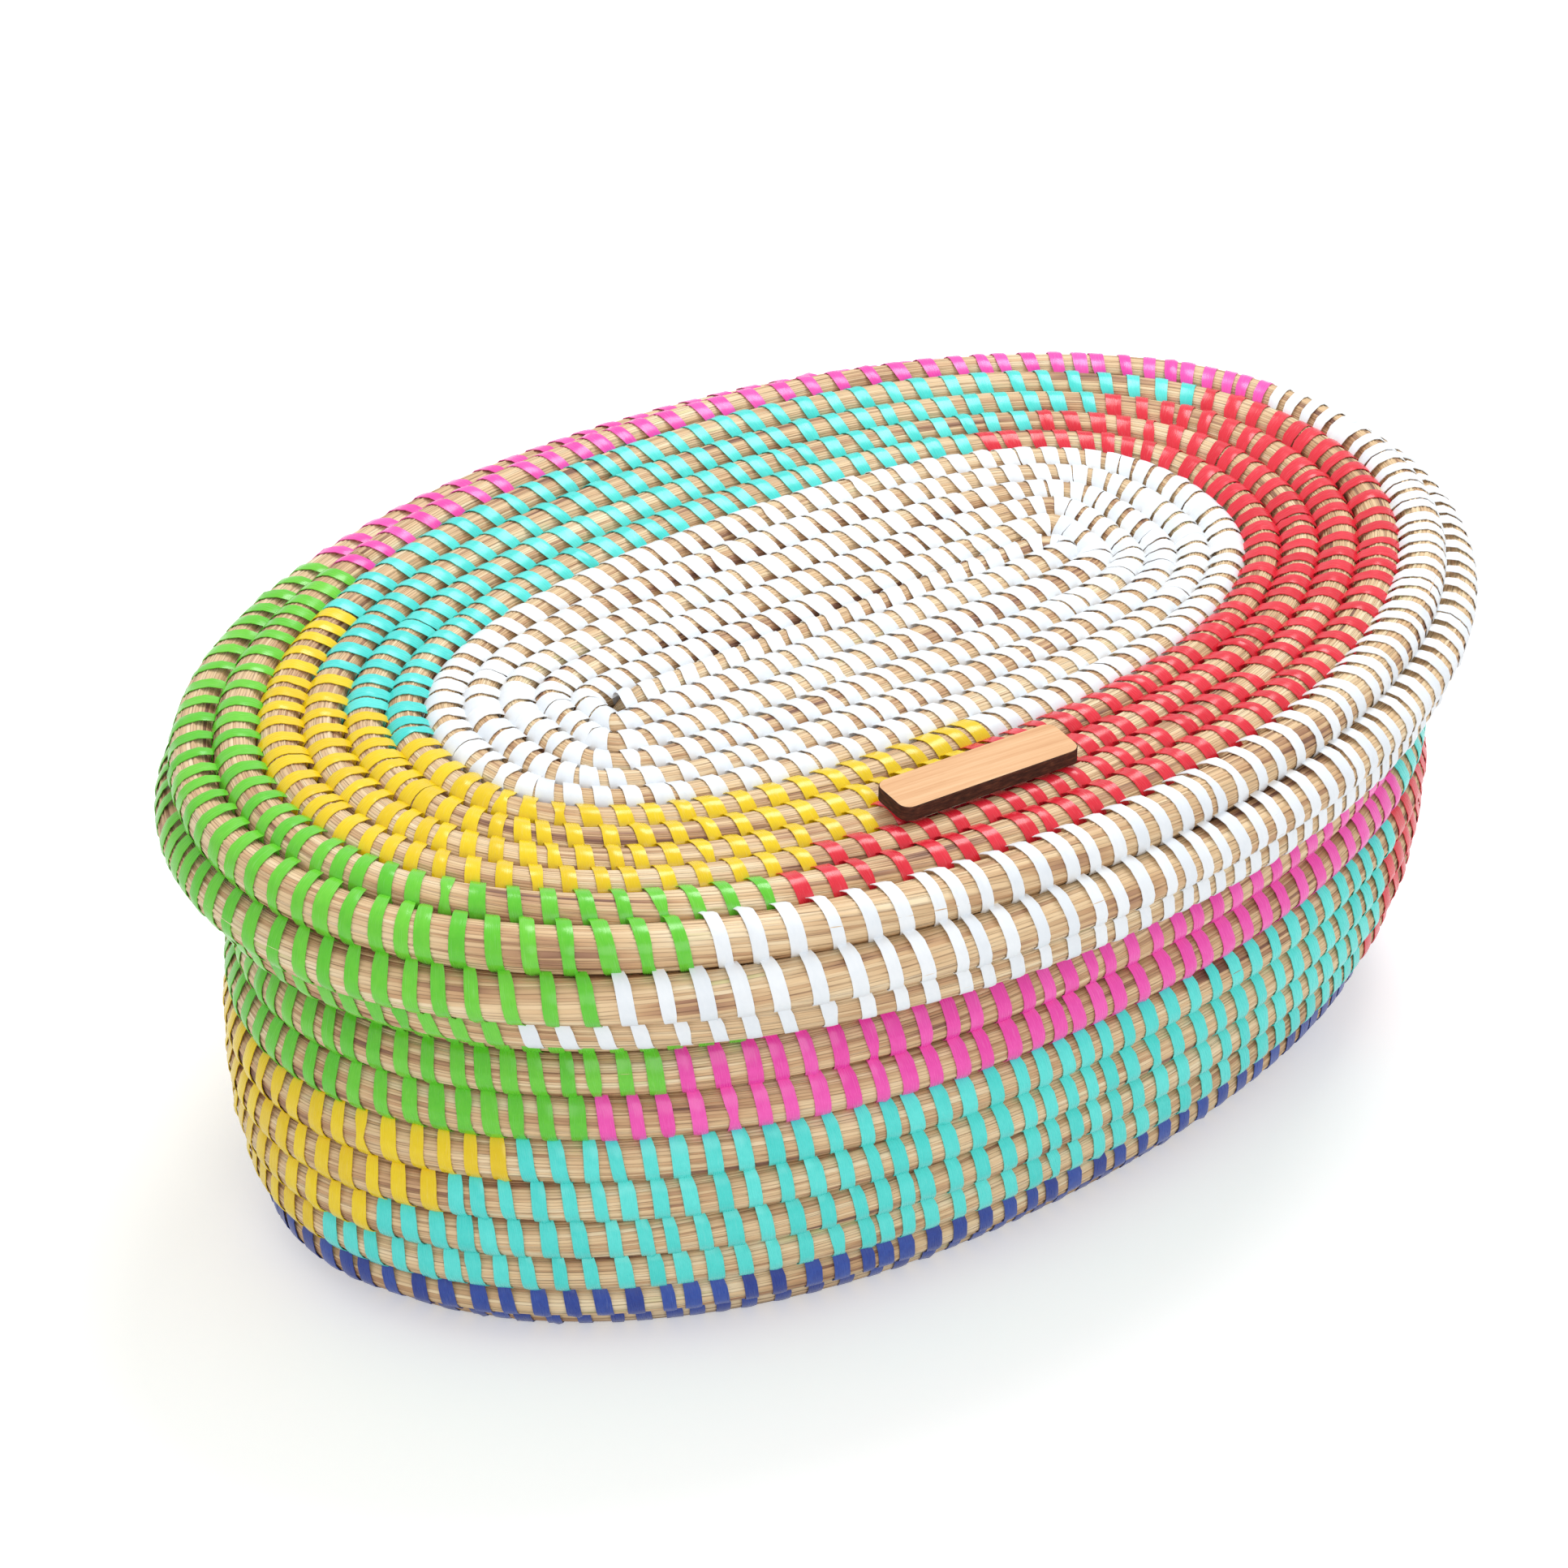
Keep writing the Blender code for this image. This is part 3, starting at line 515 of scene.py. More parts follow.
# ------------------------------------------------------------------ the grass bundles
def bundle(name, path, s0, s1, ring, straws, mat, body, node, taper0=0.0, taper1=0.0):
    """One unbroken ridged tube along a stretch of a path: each stalk is a ridge that wanders beside its groove.

    ring is the spacing of its rings, straws the number of stalks round it, and taper0 and taper1 say how long the
    stretches are over which its ends draw in.
    """
    n = max(8, int(round((s1 - s0) / ring)))
    s = np.linspace(s0, s1, n + 1)
    k = np.arange(2 * straws)
    straw = k // 2
    phase = rng.uniform(0, 2 * math.pi, (4, straws))
    run = s[:, None] * 100.0
    wander = 0.22 * np.sin(run / 5.3 + phase[0]) + 0.16 * np.sin(run / 2.3 + phase[1])
    proud = 0.018 * np.sin(run / 3.1 + phase[2]) + 0.014 * np.sin(run / 1.4 + phase[3]) + rng.normal(0, 0.012, straws)
    swirl = 0.9 * np.sin(s * 9.0 + phase[0, 0]) + s * 3.0
    w_at = wander[:, straw] * (k % 2) + 0.5 * (wander[:, straw] + wander[:, (straw - 1) % straws]) * (1 - k % 2)
    theta = 2 * math.pi * (k[None, :] / 2.0 + w_at) / straws + swirl[:, None]
    size = np.where(k % 2 == 1, 1.0 + proud[:, straw], 0.955)
    ends = np.ones(n + 1)
    if taper0:
        ends = np.minimum(ends, np.sqrt(np.clip((s - s0) / taper0, 0.0, 1.0)) * 0.75 + 0.25)
    if taper1:
        ends = np.minimum(ends, np.sqrt(np.clip((s1 - s) / taper1, 0.0, 1.0)) * 0.75 + 0.25)
    rad = path.at("half", s)
    right, left = path.at("next", s), path.at("prev", s)
    c, d = np.cos(theta), np.sin(theta)
    half = np.where(c > 0, right[:, None], left[:, None])
    x1 = c * half * size * ends[:, None]
    x2 = d * rad[:, None] * size * ends[:, None]
    x1, x2 = turned(x1, x2, 0.5 + 0.5 * c, path.at("turn_n", s)[:, None], path.at("turn_p", s)[:, None])
    p, a1, a2 = (path.at(field, s)[:, None] for field in ("p", "a1", "a2"))
    p = p + a1 * x1[..., None] + a2 * x2[..., None]
    m = 2 * straws
    verts = p.reshape(-1, 3)
    i, j = np.meshgrid(np.arange(n), np.arange(m), indexing="ij")
    j2 = (j + 1) % m
    quads = np.stack([i * m + j, i * m + j2, (i + 1) * m + j2, (i + 1) * m + j], -1).reshape(-1, 4)
    uu = run[:, 0]
    uv = np.stack([np.stack([uu[i], j / 2.0], -1), np.stack([uu[i], (j + 1) / 2.0], -1),
                   np.stack([uu[i + 1], (j + 1) / 2.0], -1), np.stack([uu[i + 1], j / 2.0], -1)], 2).reshape(-1, 2)
    # end caps: a fan of quads to the centre
    centre = np.stack([path.at("p", np.array([s0]))[0], path.at("p", np.array([s1]))[0]])
    first = len(verts)
    verts = np.concatenate([verts, centre])
    caps, cap_uv = [], []
    for ring_at, c_at in ((0, first), (n * m, first + 1)):
        for q in range(0, m, 2):
            caps.append((c_at, ring_at + q, ring_at + q + 1, ring_at + (q + 2) % m) if ring_at == 0
                        else (c_at, ring_at + (q + 2) % m, ring_at + q + 1, ring_at + q))
            cap_uv += [(0.0, q / 2.0 + 0.5), (0.3, q / 2.0), (0.3, q / 2.0 + 0.5), (0.3, q / 2.0 + 1.0)]
    quads = np.concatenate([quads, np.array(caps)])
    uv = np.concatenate([uv, np.array(cap_uv)])
    if path.sign < 0:
        quads, uv = quads[:, ::-1], uv.reshape(-1, 4, 2)[:, ::-1].reshape(-1, 2)
    obj = mesh_object(name, verts, quads, mat, uv)
    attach(obj, body)
    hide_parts(*node)
    return obj


straw_lid = straw_material("grass_lid", 1.0)
straw_basket = straw_material("grass_basket", 5.0)
START_TAPER, END_TAPER = 0.008, 0.012
bundle("lid_panel_straw", LID, 0.0, LID_SPLIT, 0.0040, 34, straw_lid, "lid",
       ["lid_panel_coil"], START_TAPER)
bundle("lid_rim_straw", LID, LID_SPLIT, LID.length, 0.0040, 38, straw_lid, "lid",
       ["lid_rim_coil"], 0.0, END_TAPER)
bundle("basket_base_straw", BASKET, 0.0, BASKET_SPLIT, 0.0055, 30, straw_basket, "basket",
       ["basket_base_coil"], START_TAPER)
bundle("basket_wall_straw", BASKET, BASKET_SPLIT, BASKET.length, 0.0064, 34, straw_basket, "basket",
       ["basket_wall_lower_coil", "basket_wall_upper_coil"], 0.0, END_TAPER)

# ------------------------------------------------------------------ the stitches
# where the colours change, in degrees, by turn of the lid and by row of the wall; the middle of the lid is white
LID_START = {6: -1, 7: 3, 8: 17.5, 9: 24.5, 10: 27.5, 11: 36, 12: 44, 13: 54, 14: 60}
LID_LEFT = {6: 100, 7: 113, 8: 126, 9: 139, 10: 147, 11: 151, 12: 155, 13: 158}
LID_BACK = {6: 221, 7: 228, 8: 236, 9: 247.5, 10: 256, 11: 260, 12: 263, 13: 264}
WALL_LEFT = {-2: 18, -1: 25, 0: 32, 1: 40, 2: 47, 3: 56.5, 4: 62, 5: 72.5, 6: 83}


LID_WHITE_TURNS, LID_RIM_TURN = 6, 10
WALL_LOWER_ROW, BASE_ROW = 3, 6
WALL_BACK = -50.0


def lid_colour(angle):
    turn = LID_WHITE_TURNS - 1
    for t, start in LID_START.items():
        if angle >= 360.0 * t + start:
            turn = t
    if turn < LID_WHITE_TURNS:
        return "white"
    within = angle - 360.0 * turn
    first, second, third = ("yellow", "cyan", "red") if turn < LID_RIM_TURN else ("green", "pink", "white")
    return first if within < LID_LEFT.get(turn, 155) else second if within < LID_BACK.get(turn, 260) else third


def wall_colour(travel):
    within = travel % 360.0
    row = int(round(SEAM_TURN - travel / 360.0 - 0.5 + within / 360.0))
    if row > BASE_ROW:
        return "blue"
    angle = SEAM_ANGLE - within
    first, second, third = ("green", "pink", "cyan") if row < WALL_LOWER_ROW else ("yellow", "cyan", "red")
    return first if angle > WALL_LEFT.get(row, 15) else second if angle > WALL_BACK else third


END_ROOM = 0.004                    # no stitch this near a coil's ends


def place(path, pitch_at, slant_at, crowd):
    """Where the stitches sit: each row's follow on from the stitches of the row before, where the pitch allows it."""
    s, out = END_ROOM, []
    links = []
    side = -path.sign          # the row before lies towards -a1 on the lid and +a1 on the basket
    while s < path.length - END_ROOM:
        i = min(int(s / path.step), len(path.p) - 1)
        slant = slant_at(path.param[i])
        pitch = pitch_at(path.param[i]) * (1.0 - crowd * abs(path.t[i, 1]))
        half = path.prev[i] if path.sign > 0 else path.next[i]
        here = path.p[i] + side * half * path.a1[i] - side * 0.5 * slant * path.sign * path.t[i]
        shift = 0.0
        if links:
            d = np.array(links[:-3] if len(links) > 3 else links) - here
            dist = np.linalg.norm(d, axis=1)
            j = int(dist.argmin())
            if dist[j] < 0.6 * pitch:
                shift = float(d[j] @ path.t[i])
        s += float(np.clip(0.7 * shift, -0.20 * pitch, 0.16 * pitch)) + rng.normal(0.0, 0.05) * pitch
        i = min(max(int(s / path.step), 0), len(path.p) - 1)
        other = path.next[i] if path.sign > 0 else path.prev[i]
        links.append(path.p[i] - side * other * path.a1[i] + side * 0.5 * slant * path.sign * path.t[i])
        out.append(s)
        s += pitch
    return np.array(out)


# a strip's run over a coil, from the side of -a1 to that of +a1: place across the coil, height where it leaves the
# coil's round (a share of its thickness), width, and how far its start leans along the coil in millimetres
STRIP_X = np.array([-1.0, -0.97, -0.76, -0.45, -0.17, 0.10, 0.41, 0.67, 0.86, 0.966, 1.0, 1.02])
STRIP_RISE = np.array([0.50, 0.68, 0.81, 0.0, 0.0, 0.0, 0.0, 0.0, 0.0, 0.0, 0.0, -0.16])
STRIP_WIDE = np.array([0.80, 0.93, 1.0, 1.0, 1.0, 1.0, 1.0, 1.0, 1.0, 1.0, 0.98, 0.96])
STRIP_LIP = np.array([0.3, 0.2, 0.05, 0.0, 0.0, 0.0, 0.0, 0.0, 0.0, 0.0, 0.0, 0.0])
STRIP_LAT = np.array([-0.5, -0.19, 0.19, 0.5])      # points across a strip
STRIP_THICK, STRIP_LIFT, STRIP_TUCK = 0.00020, 0.00010, 0.0009
MOUTH_SPAN = 352.0                  # the basket's last stretch of coil, with no turn over it


def strip_faces(k, flip):
    """Quads and UVs of one strip: its upper and lower skins, its two long edges and its two ends."""
    idx = np.arange(2 * k * 4).reshape(2, k, 4)
    run = np.concatenate([[0.0], np.cumsum(np.full(k - 1, 1.4))])
    coord = np.stack(np.broadcast_arrays(run[:, None], STRIP_LAT[None, :] * 3.0), -1)
    q, uvq = [], []

    def put(corners, places, keep=True):
        q.append(corners if keep else corners[::-1])
        uvq.append(places if keep else places[::-1])

    for r in range(k - 1):
        for c in range(3):
            put((idx[0, r, c], idx[0, r, c + 1], idx[0, r + 1, c + 1], idx[0, r + 1, c]),
                (coord[r, c], coord[r, c + 1], coord[r + 1, c + 1], coord[r + 1, c]))
            put((idx[1, r, c], idx[1, r + 1, c], idx[1, r + 1, c + 1], idx[1, r, c + 1]),
                (coord[r, c], coord[r + 1, c], coord[r + 1, c + 1], coord[r, c + 1]))
        for c, keep in ((0, True), (3, False)):
            put((idx[1, r, c], idx[0, r, c], idx[0, r + 1, c], idx[1, r + 1, c]),
                (coord[r, c], coord[r, c], coord[r + 1, c], coord[r + 1, c]), keep)
    for r, keep in ((0, False), (k - 1, True)):
        for c in range(3):
            put((idx[1, r, c], idx[0, r, c], idx[0, r, c + 1], idx[1, r, c + 1]),
                (coord[r, c], coord[r, c], coord[r, c + 1], coord[r, c + 1]), keep)
    q, uvq = np.array(q), np.array(uvq)
    return (q[:, ::-1], uvq[:, ::-1]) if flip else (q, uvq)


def strips(path, at, width, slant, face, colours):
    """Strip meshes over one face of the coil (face 1 outer, -1 inner); returns arrays for each stitch."""
    n, k = len(at), len(STRIP_X)
    nx, pv, b = path.at("next", at), path.at("prev", at), path.at("half", at)
    lift = STRIP_LIFT + rng.uniform(0.0, 0.00012, n)
    xs = STRIP_X[None, :] * np.where(STRIP_X[None, :] > 0, nx[:, None], pv[:, None])
    mouth = (path.sign < 0) & (path.at("param", at) > path.param[-1] - MOUTH_SPAN)
    xs[:, 0] -= np.where(mouth, 0.0, STRIP_TUCK if face > 0 else 0.0)
    rel = np.clip(STRIP_X, -1, 1)
    circle = np.sqrt(np.clip(1 - rel ** 2, 0.0, 1.0))
    leaves = (STRIP_RISE > 0)[None, :] & ~mouth[:, None]
    height = np.where(leaves, STRIP_RISE, circle + STRIP_RISE * (rel >= 1.0)) * b[:, None]
    normal = np.stack([np.broadcast_to(rel * 0.95, (n, k)) / nx[:, None],
                       np.broadcast_to(np.maximum(circle, 0.15), (n, k)) / b[:, None]], -1)
    normal /= np.linalg.norm(normal, axis=-1)[..., None]
    # each stitch's own width, pinch, slant, hollow and fold
    w = width * rng.uniform(0.86, 1.12, n)
    odd = rng.uniform(0, 1, n)
    prog = np.linspace(0, 1, k)
    wide = STRIP_WIDE[None, :] * w[:, None]
    nip = np.where(odd < 0.06, 0.45, np.where(odd < 0.12, 0.25, 0.0))
    where = rng.uniform(0.35, 0.85, n)
    wide = wide * (1 - nip[:, None] * np.exp(-((prog[None, :] - where[:, None]) / 0.14) ** 2))
    skew = slant * rng.uniform(0.75, 1.25, n) + rng.normal(0, 0.0004, n)
    mid = (0.5 - prog[None, :]) * skew[:, None] + STRIP_LIP[None, :] * 0.001
    mid = mid * face
    cup = rng.uniform(-0.10, 0.22, n) * 0.001
    fold = np.where(odd > 0.90, rng.uniform(0.15, 0.4, n) * 0.001, 0.0)
    lat = STRIP_LAT[None, None, :]
    base = at[:, None, None] + path.sign * mid[:, :, None] + lat * wide[:, :, None]
    crown = cup[:, None, None] * (1 - 4 * lat ** 2) + fold[:, None, None] * (lat == STRIP_LAT[2])
    p, a1, a2 = path.at("p", base), path.at("a1", base), path.at("a2", base)
    share = (0.5 + 0.5 * rel)[None, :, None]
    turn_n, turn_p = path.at("turn_n", at)[:, None, None], path.at("turn_p", at)[:, None, None]
    layers = []
    for depth in (STRIP_THICK, 0.0):
        off = lift[:, None, None] + depth + crown
        q1 = xs[:, :, None] + normal[..., 0][:, :, None] * off
        q2 = (height[:, :, None] + normal[..., 1][:, :, None] * off) * face
        q1, q2 = turned(q1, q2, share, turn_n, turn_p)
        layers.append(p + a1 * q1[..., None] + a2 * q2[..., None])
    per = 2 * k * 4
    quads, uvs = strip_faces(k, path.sign * face < 0)
    tone = np.repeat(rng.uniform(0, 1, n), per)
    return np.stack(layers, 1).reshape(n, per, 3), quads, uvs, tone.reshape(n, per), np.array(colours)


# a light and a deep tone and a roughness for each plastic
COLOURS = {
    "white": (srgb(246, 249, 251), srgb(228, 234, 240), 0.42),
    "yellow": (srgb(244, 216, 24), srgb(230, 196, 10), 0.23),
    "green": (srgb(124, 216, 62), srgb(92, 196, 42), 0.22),
    "cyan": (srgb(104, 234, 226), srgb(68, 214, 206), 0.25),
    "pink": (srgb(248, 98, 192), srgb(236, 66, 170), 0.23),
    "red": (srgb(234, 52, 70), srgb(214, 30, 50), 0.23),
    "blue": (srgb(50, 88, 180), srgb(24, 52, 140), 0.30),
}
strip_mats = {key: strip_material("strip_" + key, *value) for key, value in COLOURS.items()}


INNER_ON = 0.0030                   # how far along the coil a stitch's inner half sits from its outer half


def sew(path, body, prefix, pitch_at, slant_at, width_at, colour_at, crowd):
    """All the stitches of a coil, one piece for each colour."""
    at = place(path, pitch_at, slant_at, crowd)
    par = path.at("param", at)
    slant = np.array([slant_at(v) for v in par])
    colours = [colour_at(v) for v in par]
    width = np.array([width_at(v) for v in par])
    sets = [strips(path, at, width, slant, 1.0, colours),
            strips(path, at + INNER_ON, width, slant * 0.8, -1.0, colours)]
    for colour in sorted(set(colours)):
        verts, quads, uvs, tones, start = [], [], [], [], 0
        for v, q, uvq, tone, cols in sets:
            pick = v[cols == colour]
            if not len(pick):
                continue
            count, per = pick.shape[:2]
            verts.append(pick.reshape(-1, 3))
            quads.append((q[None] + (np.arange(count) * per)[:, None, None] + start).reshape(-1, 4))
            uvs.append(np.broadcast_to(uvq[None], (count, *uvq.shape)).reshape(-1, 2))
            tones.append(tone[cols == colour].ravel())
            start += count * per
        obj = mesh_object(prefix + colour, np.concatenate(verts), np.concatenate(quads), strip_mats[colour],
                          np.concatenate(uvs), np.concatenate(tones), 50)
        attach(obj, body)


def lid_close(angle):
    """How far the stitches crowd together, 0 to 1: they do on the lid's right side."""
    within = (angle + 180.0) % 360.0 - 180.0
    side = np.interp(within, [-165.0, -120.0, 0.0, 28.0], [0.0, 1.0, 1.0, 0.0])
    return side * np.interp(lid_turn(angle), [2.0, 6.0, 6.6, 9.9, 10.6], [0.3, 0.7, 0.08, 0.08, 0.85])


def lid_pitch(angle):
    pitch = 0.001 * np.interp(lid_turn(angle), [1, 5, 8, 10, 11.5], [6.9, 7.2, 7.5, 7.9, 8.5])
    return pitch * (1.0 - 0.27 * lid_close(angle))


def lid_width(angle):
    width = 0.001 * np.interp(lid_turn(angle), [1, 6, 6.6, 10, 12], [4.3, 4.2, 3.7, 3.6, 3.7])
    return width * (1.0 - 0.12 * lid_close(angle))


def lid_slant(angle):
    """How far along the coil a stitch moves from its one end to the other."""
    return float(np.interp(angle, [281.0, 300.0, 3600.0, 4000.0], [-0.0024, 0.0030, 0.0032, 0.0038]))


WALL_STITCH, WALL_SLANT, WALL_WIDTH = 0.0069, 0.0022, 0.0036


def wall_pitch(travel):
    within = (SEAM_ANGLE - travel % 360.0 + 180.0) % 360.0 - 180.0
    return WALL_STITCH * (1.0 - 0.10 * float(np.interp(within, [-140.0, -100.0, -10.0, 30.0], [0.0, 1.0, 1.0, 0.0])))


sew(LID, "lid", "lid_stitches_", lid_pitch, lid_slant, lid_width, lid_colour, 0.25)
sew(BASKET, "basket", "basket_stitches_", wall_pitch, lambda a: WALL_SLANT, lambda a: WALL_WIDTH, wall_colour, 0.14)


# ------------------------------------------------------------------ the wooden tag and its glue
TAG_X, TAG_Y, TAG_LENGTH, TAG_WIDTH, TAG_CORNER = -0.0085, -0.0781, 0.0506, 0.0134, 0.0030
TAG_TURN, TAG_ABOVE, TAG_THICK, TAG_EDGE = 0.035, 0.0011, 0.0040, 0.00025
TAG_OUT = (-TAG_Y + 0.5 * TAG_WIDTH) / (1.0 + LID_STRETCH[1]) / LEVEL_TEN
TAG_LOW = LID_DISH * TAG_OUT ** 2 + LID_RISE + PANEL_HALF_THICK + TAG_ABOVE
TAG_HIGH = TAG_LOW + TAG_THICK


def rounded(length, width, corner, steps=7):
    """The outline of a rectangle with round corners, at the tag's place and turn."""
    pts = []
    for k, (sx, sy) in enumerate(((1, 1), (-1, 1), (-1, -1), (1, -1))):
        for j in range(steps):
            a = math.radians(90.0 * k + 90.0 * j / (steps - 1))
            x = sx * (0.5 * length - corner) + corner * math.cos(a)
            y = sy * (0.5 * width - corner) + corner * math.sin(a)
            pts.append((TAG_X + x - TAG_TURN * y, TAG_Y + y + TAG_TURN * x))
    return np.array(pts)


def ringed(name, rings, mat, body, node):
    """A closed prism through rings of equal point counts, in the lid's own frame before it leans."""
    m = len(rings[0])
    verts = lid_world(np.concatenate(rings))
    quads = []
    for r in range(len(rings) - 1):
        for k in range(m):
            k2 = (k + 1) % m
            quads.append((r * m + k, r * m + k2, (r + 1) * m + k2, (r + 1) * m + k))
    mesh = bpy.data.meshes.new(name)
    faces = [tuple(q) for q in quads] + [tuple(range(m))[::-1], tuple((len(rings) - 1) * m + k for k in range(m))]
    mesh.from_pydata([tuple(v) for v in verts], [], faces)
    mesh.materials.append(mat)
    mesh.shade_smooth()
    mesh.set_sharp_from_angle(angle=math.radians(40))
    obj = bpy.data.objects.new(name, mesh)
    bpy.context.scene.collection.objects.link(obj)
    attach(obj, body)
    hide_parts(node)
    return obj


def flat_ring(inset, z):
    pts = rounded(TAG_LENGTH - 2 * inset, TAG_WIDTH - 2 * inset, max(TAG_CORNER - inset, 0.0004))
    return np.column_stack([pts, np.full(len(pts), z)])


def wood_material():
    g = Graph("tag_wood")
    x, y, z = g.node("SeparateXYZ", {0: g.node("TexCoord").outputs["Object"]}).outputs
    grain = g.stretched(x, y, z, (26.0, 900.0, 300.0), 4.0, 0.6)
    pores = g.noise(g.vec(g.math("MULTIPLY", x, 160.0), g.math("MULTIPLY", y, 2600.0), 3.0), 1.0, 2.0, 0.6)
    colour = g.ramp(grain, [(0.25, srgb(208, 154, 108)), (0.5, srgb(224, 176, 130)), (0.75, srgb(234, 192, 148))])
    fleck = g.ramp(pores, [(0.64, (0.0, 0.0, 0.0, 1.0)), (0.72, (1.0, 1.0, 1.0, 1.0))])
    colour = g.mix(g.math("MULTIPLY", fleck, 0.35), colour, srgb(196, 148, 100))
    g.put(g.bsdf.inputs["Base Color"], colour)
    g.set(Roughness=0.58, Specular_IOR_Level=0.3)
    g.bump(g.math("ADD", grain, pores), 0.0001, 0.5)
    return g.mat


def burnt_material():
    g = Graph("tag_burnt_edge")
    x, y, z = g.node("SeparateXYZ", {0: g.node("TexCoord").outputs["Object"]}).outputs
    bands = g.stretched(x, y, z, (400.0, 400.0, 1800.0), 3.0, 0.6)
    colour = g.ramp(bands, [(0.3, srgb(44, 24, 18)), (0.55, srgb(74, 42, 30)), (0.8, srgb(112, 70, 48))])
    g.put(g.bsdf.inputs["Base Color"], colour)
    g.set(Roughness=0.75, Specular_IOR_Level=0.25)
    g.bump(bands, 0.0002, 0.6)
    return g.mat


wood, burnt = wood_material(), burnt_material()
tag = ringed("tag_plate", [flat_ring(TAG_EDGE, TAG_LOW), flat_ring(0.0, TAG_LOW + TAG_EDGE),
                           flat_ring(0.0, TAG_HIGH - 0.0002), flat_ring(0.0002, TAG_HIGH)],
             wood, "lid", "name_tag")
tag.data.materials.append(burnt)
for poly in tag.data.polygons:
    if abs(poly.normal.z) < 0.9:
        poly.material_index = 1


def glue_material():
    g = Graph("tag_glue")
    cloud = g.noise(g.node("TexCoord").outputs["Object"], 400.0, 3.0)
    g.put(g.bsdf.inputs["Base Color"], g.ramp(cloud, [(0.3, srgb(206, 196, 168)), (0.7, srgb(232, 226, 204))]))
    g.set(Roughness=0.3, Specular_IOR_Level=0.5)
    g.bump(cloud, 0.0002, 0.4)
    return g.mat


def glue_ring(grow, z):
    """An uneven ring of the glue under the tag."""
    pts = rounded(0.044 + 2 * grow, 0.008 + 2 * grow, 0.0035 + grow)
    k, middle = np.arange(len(pts)), (TAG_X, TAG_Y)
    wobble = 1.0 + 0.03 * np.sin(k * 1.7) + 0.02 * np.sin(k * 0.9 + 1.0)
    pts = (pts - middle) * wobble[:, None] + middle
    return np.column_stack([pts, np.full(len(pts), z)])


ringed("tag_glue_blob", [glue_ring(0.0, TAG_LOW - 0.0021), glue_ring(0.0, TAG_LOW - 0.0011),
                         glue_ring(-0.0008, TAG_LOW - 0.0005), glue_ring(0.0, TAG_LOW - 0.00002)],
       glue_material(), "lid", "tag_glue_pad")

# ------------------------------------------------------------------ floor, light and camera
FLOOR_HALF, FLOOR_SEEN, WORLD_LEVEL = 6.0, 0.37, 0.80
floor_mesh = bpy.data.meshes.new("floor")
corners = ((-1, -1), (1, -1), (1, 1), (-1, 1))
floor_mesh.from_pydata([(FLOOR_HALF * x, FLOOR_HALF * y, -0.0002) for x, y in corners], [], [(0, 1, 2, 3)])
floor = bpy.data.objects.new("floor", floor_mesh)
bpy.context.scene.collection.objects.link(floor)
g = Graph("floor_white")
g.set(Roughness=0.9, Specular_IOR_Level=0.1)
g.bsdf.inputs["Base Color"].default_value = (0.78, 0.78, 0.78, 1.0)
lp = g.node("LightPath")
seen = g.math("MAXIMUM", lp.outputs["Is Camera Ray"], lp.outputs["Is Glossy Ray"])
g.put(g.bsdf.inputs["Emission Strength"], g.math("MULTIPLY", seen, FLOOR_SEEN))
g.bsdf.inputs["Emission Color"].default_value = (1.0, 1.0, 1.0, 1.0)
floor_mesh.materials.append(g.mat)

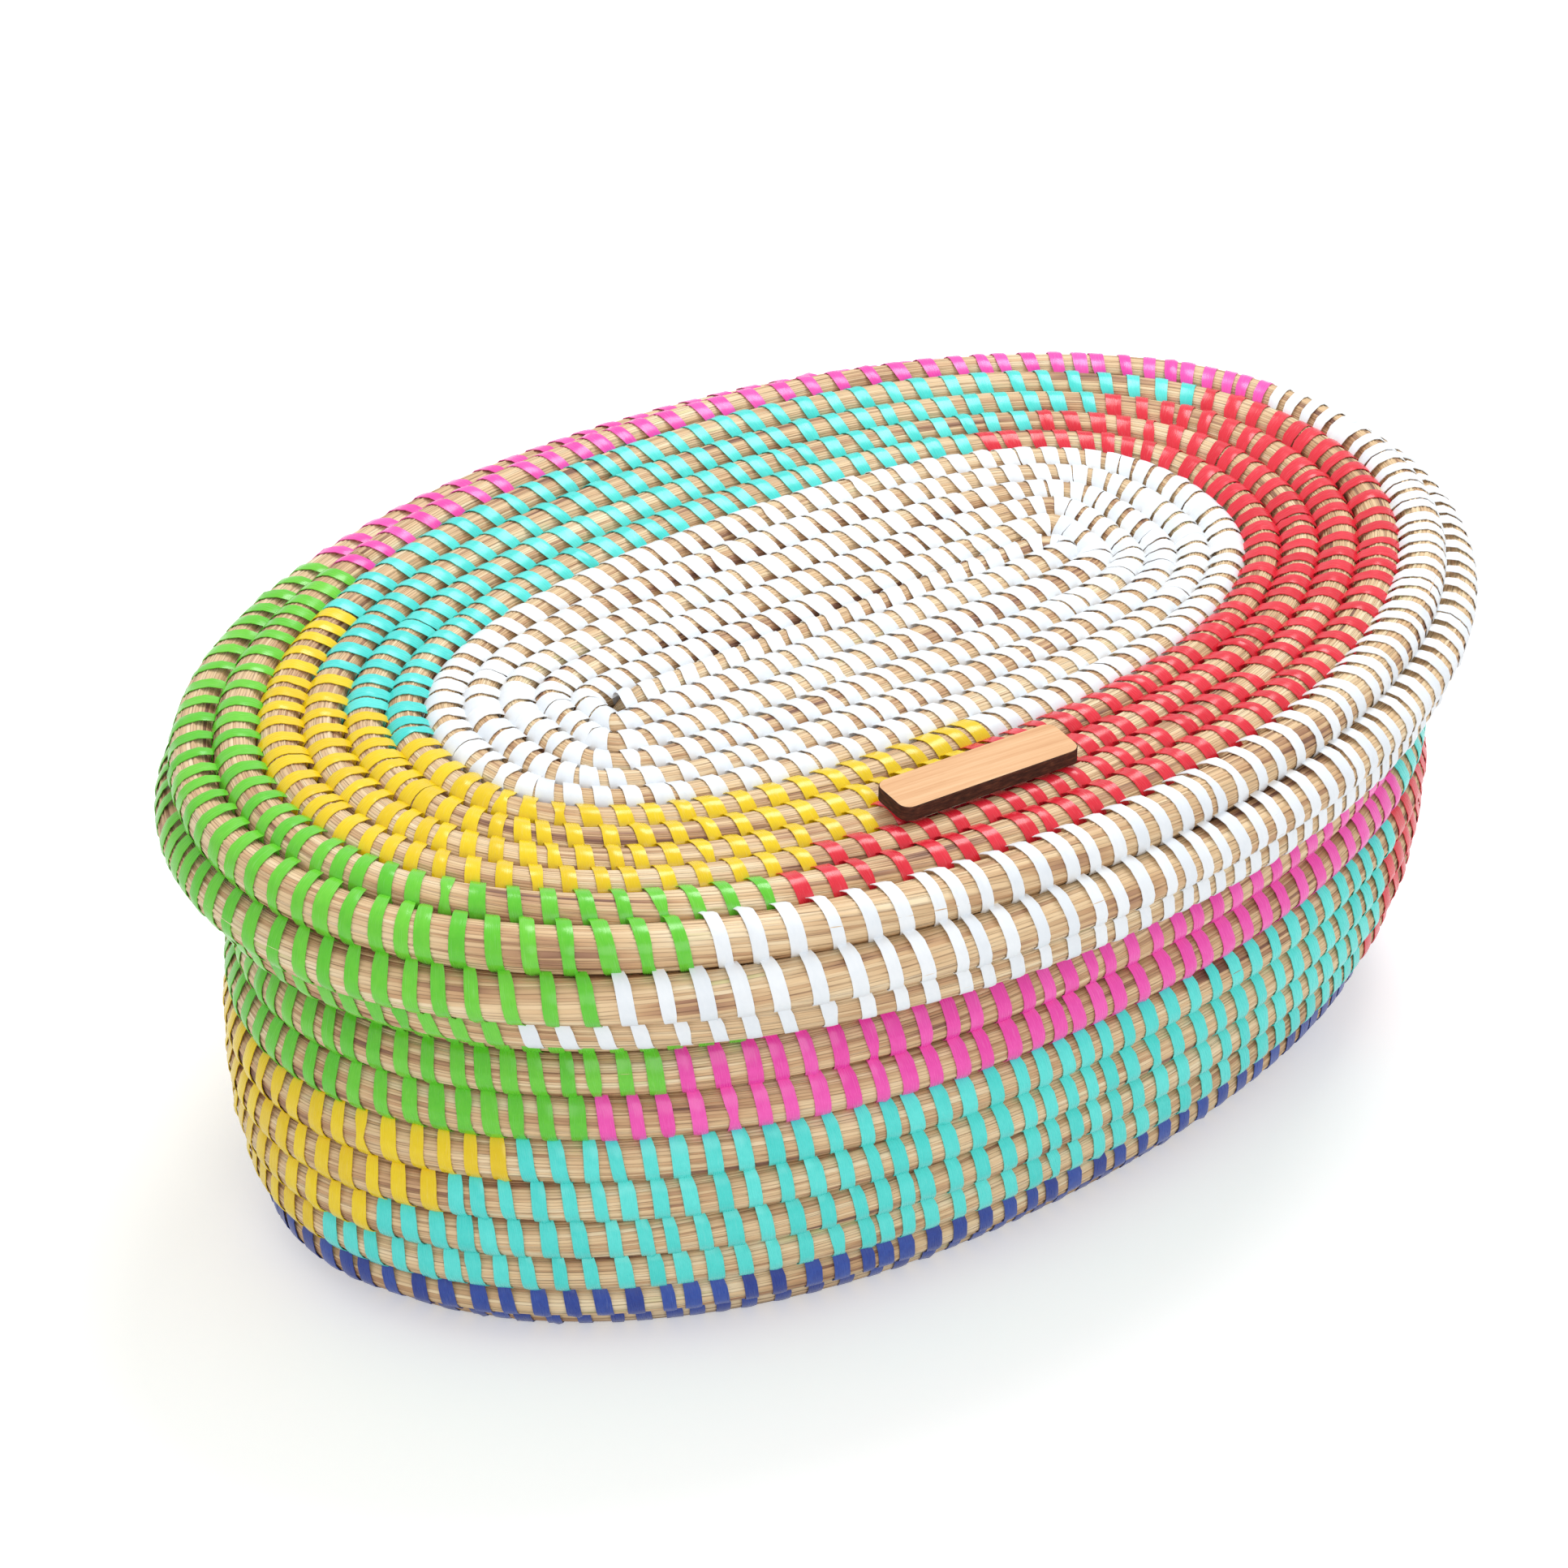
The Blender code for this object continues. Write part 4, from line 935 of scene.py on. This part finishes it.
world = bpy.data.worlds.new("studio")
bpy.context.scene.world = world
world.use_nodes = True
wt = world.node_tree
bg = wt.nodes["Background"]
bg.inputs[0].default_value = (1.0, 1.0, 1.0, 1.0)
lp = wt.nodes.new("ShaderNodeLightPath")
m1 = wt.nodes.new("ShaderNodeMath")
m1.operation = "MAXIMUM"
wt.links.new(lp.outputs["Is Camera Ray"], m1.inputs[0])
wt.links.new(lp.outputs["Is Transmission Ray"], m1.inputs[1])
m2 = wt.nodes.new("ShaderNodeMapRange")
m2.inputs[3].default_value, m2.inputs[4].default_value = WORLD_LEVEL, 1.0
wt.links.new(m1.outputs[0], m2.inputs[0])
wt.links.new(m2.outputs[0], bg.inputs[1])


def area(name, size, energy, location, target):
    lamp = bpy.data.lights.new(name, "AREA")
    lamp.shape, lamp.size, lamp.energy = "DISK", size, energy
    obj = bpy.data.objects.new(name, lamp)
    back = np.array(location) - np.array(target)
    obj.location = location
    obj.rotation_mode = "QUATERNION"
    obj.rotation_quaternion = Vector(-back).to_track_quat("-Z", "Y")
    bpy.context.scene.collection.objects.link(obj)


area("key", 0.9, 15.0, (0.7, 0.5, 1.6), (0, 0, 0.08))
area("front", 1.2, 7.0, (-0.6, -1.6, 0.9), (0, 0, 0.06))

# the camera at the photograph's view, worked out in the lid's own frame and leaned with it
TURN, EL, ROLL = math.radians(-31.616), math.radians(34.137), math.radians(-1.450)
AIM, AWAY = (-4.047, -4.385, 0.0), 195.0                         # in turns of the lid
LENS_SHARE = 5.4264                                              # of the sensor's width
fwd = np.array([-math.sin(TURN) * math.cos(EL), math.cos(TURN) * math.cos(EL), -math.sin(EL)])
right = np.cross(fwd, [0, 0, 1.0])
right /= np.linalg.norm(right)
down = np.cross(fwd, right)
r2 = math.cos(ROLL) * right + math.sin(ROLL) * down
d2 = -math.sin(ROLL) * right + math.cos(ROLL) * down
eye = (np.array(AIM) - fwd * AWAY) * LEVEL_STEP


def leaned(v):
    return np.array([v[0] + TILT * v[2], v[1], v[2] - TILT * v[0]])


eye = leaned(eye) + MOVE + np.array([0.0, 0.0, LIFT])
axes = [leaned(v) / np.linalg.norm(leaned(v)) for v in (r2, -d2, -fwd)]
cam_data = bpy.data.cameras.new("camera")
cam_data.sensor_width, cam_data.lens, cam_data.clip_end = 36.0, LENS_SHARE * 36.0, 50.0
camera = bpy.data.objects.new("camera", cam_data)
bpy.context.scene.collection.objects.link(camera)
camera.matrix_world = Matrix([[axes[0][i], axes[1][i], axes[2][i], eye[i]] for i in range(3)] + [[0, 0, 0, 1]])
bpy.context.scene.camera = camera
bpy.context.scene.view_settings.view_transform = "Standard"
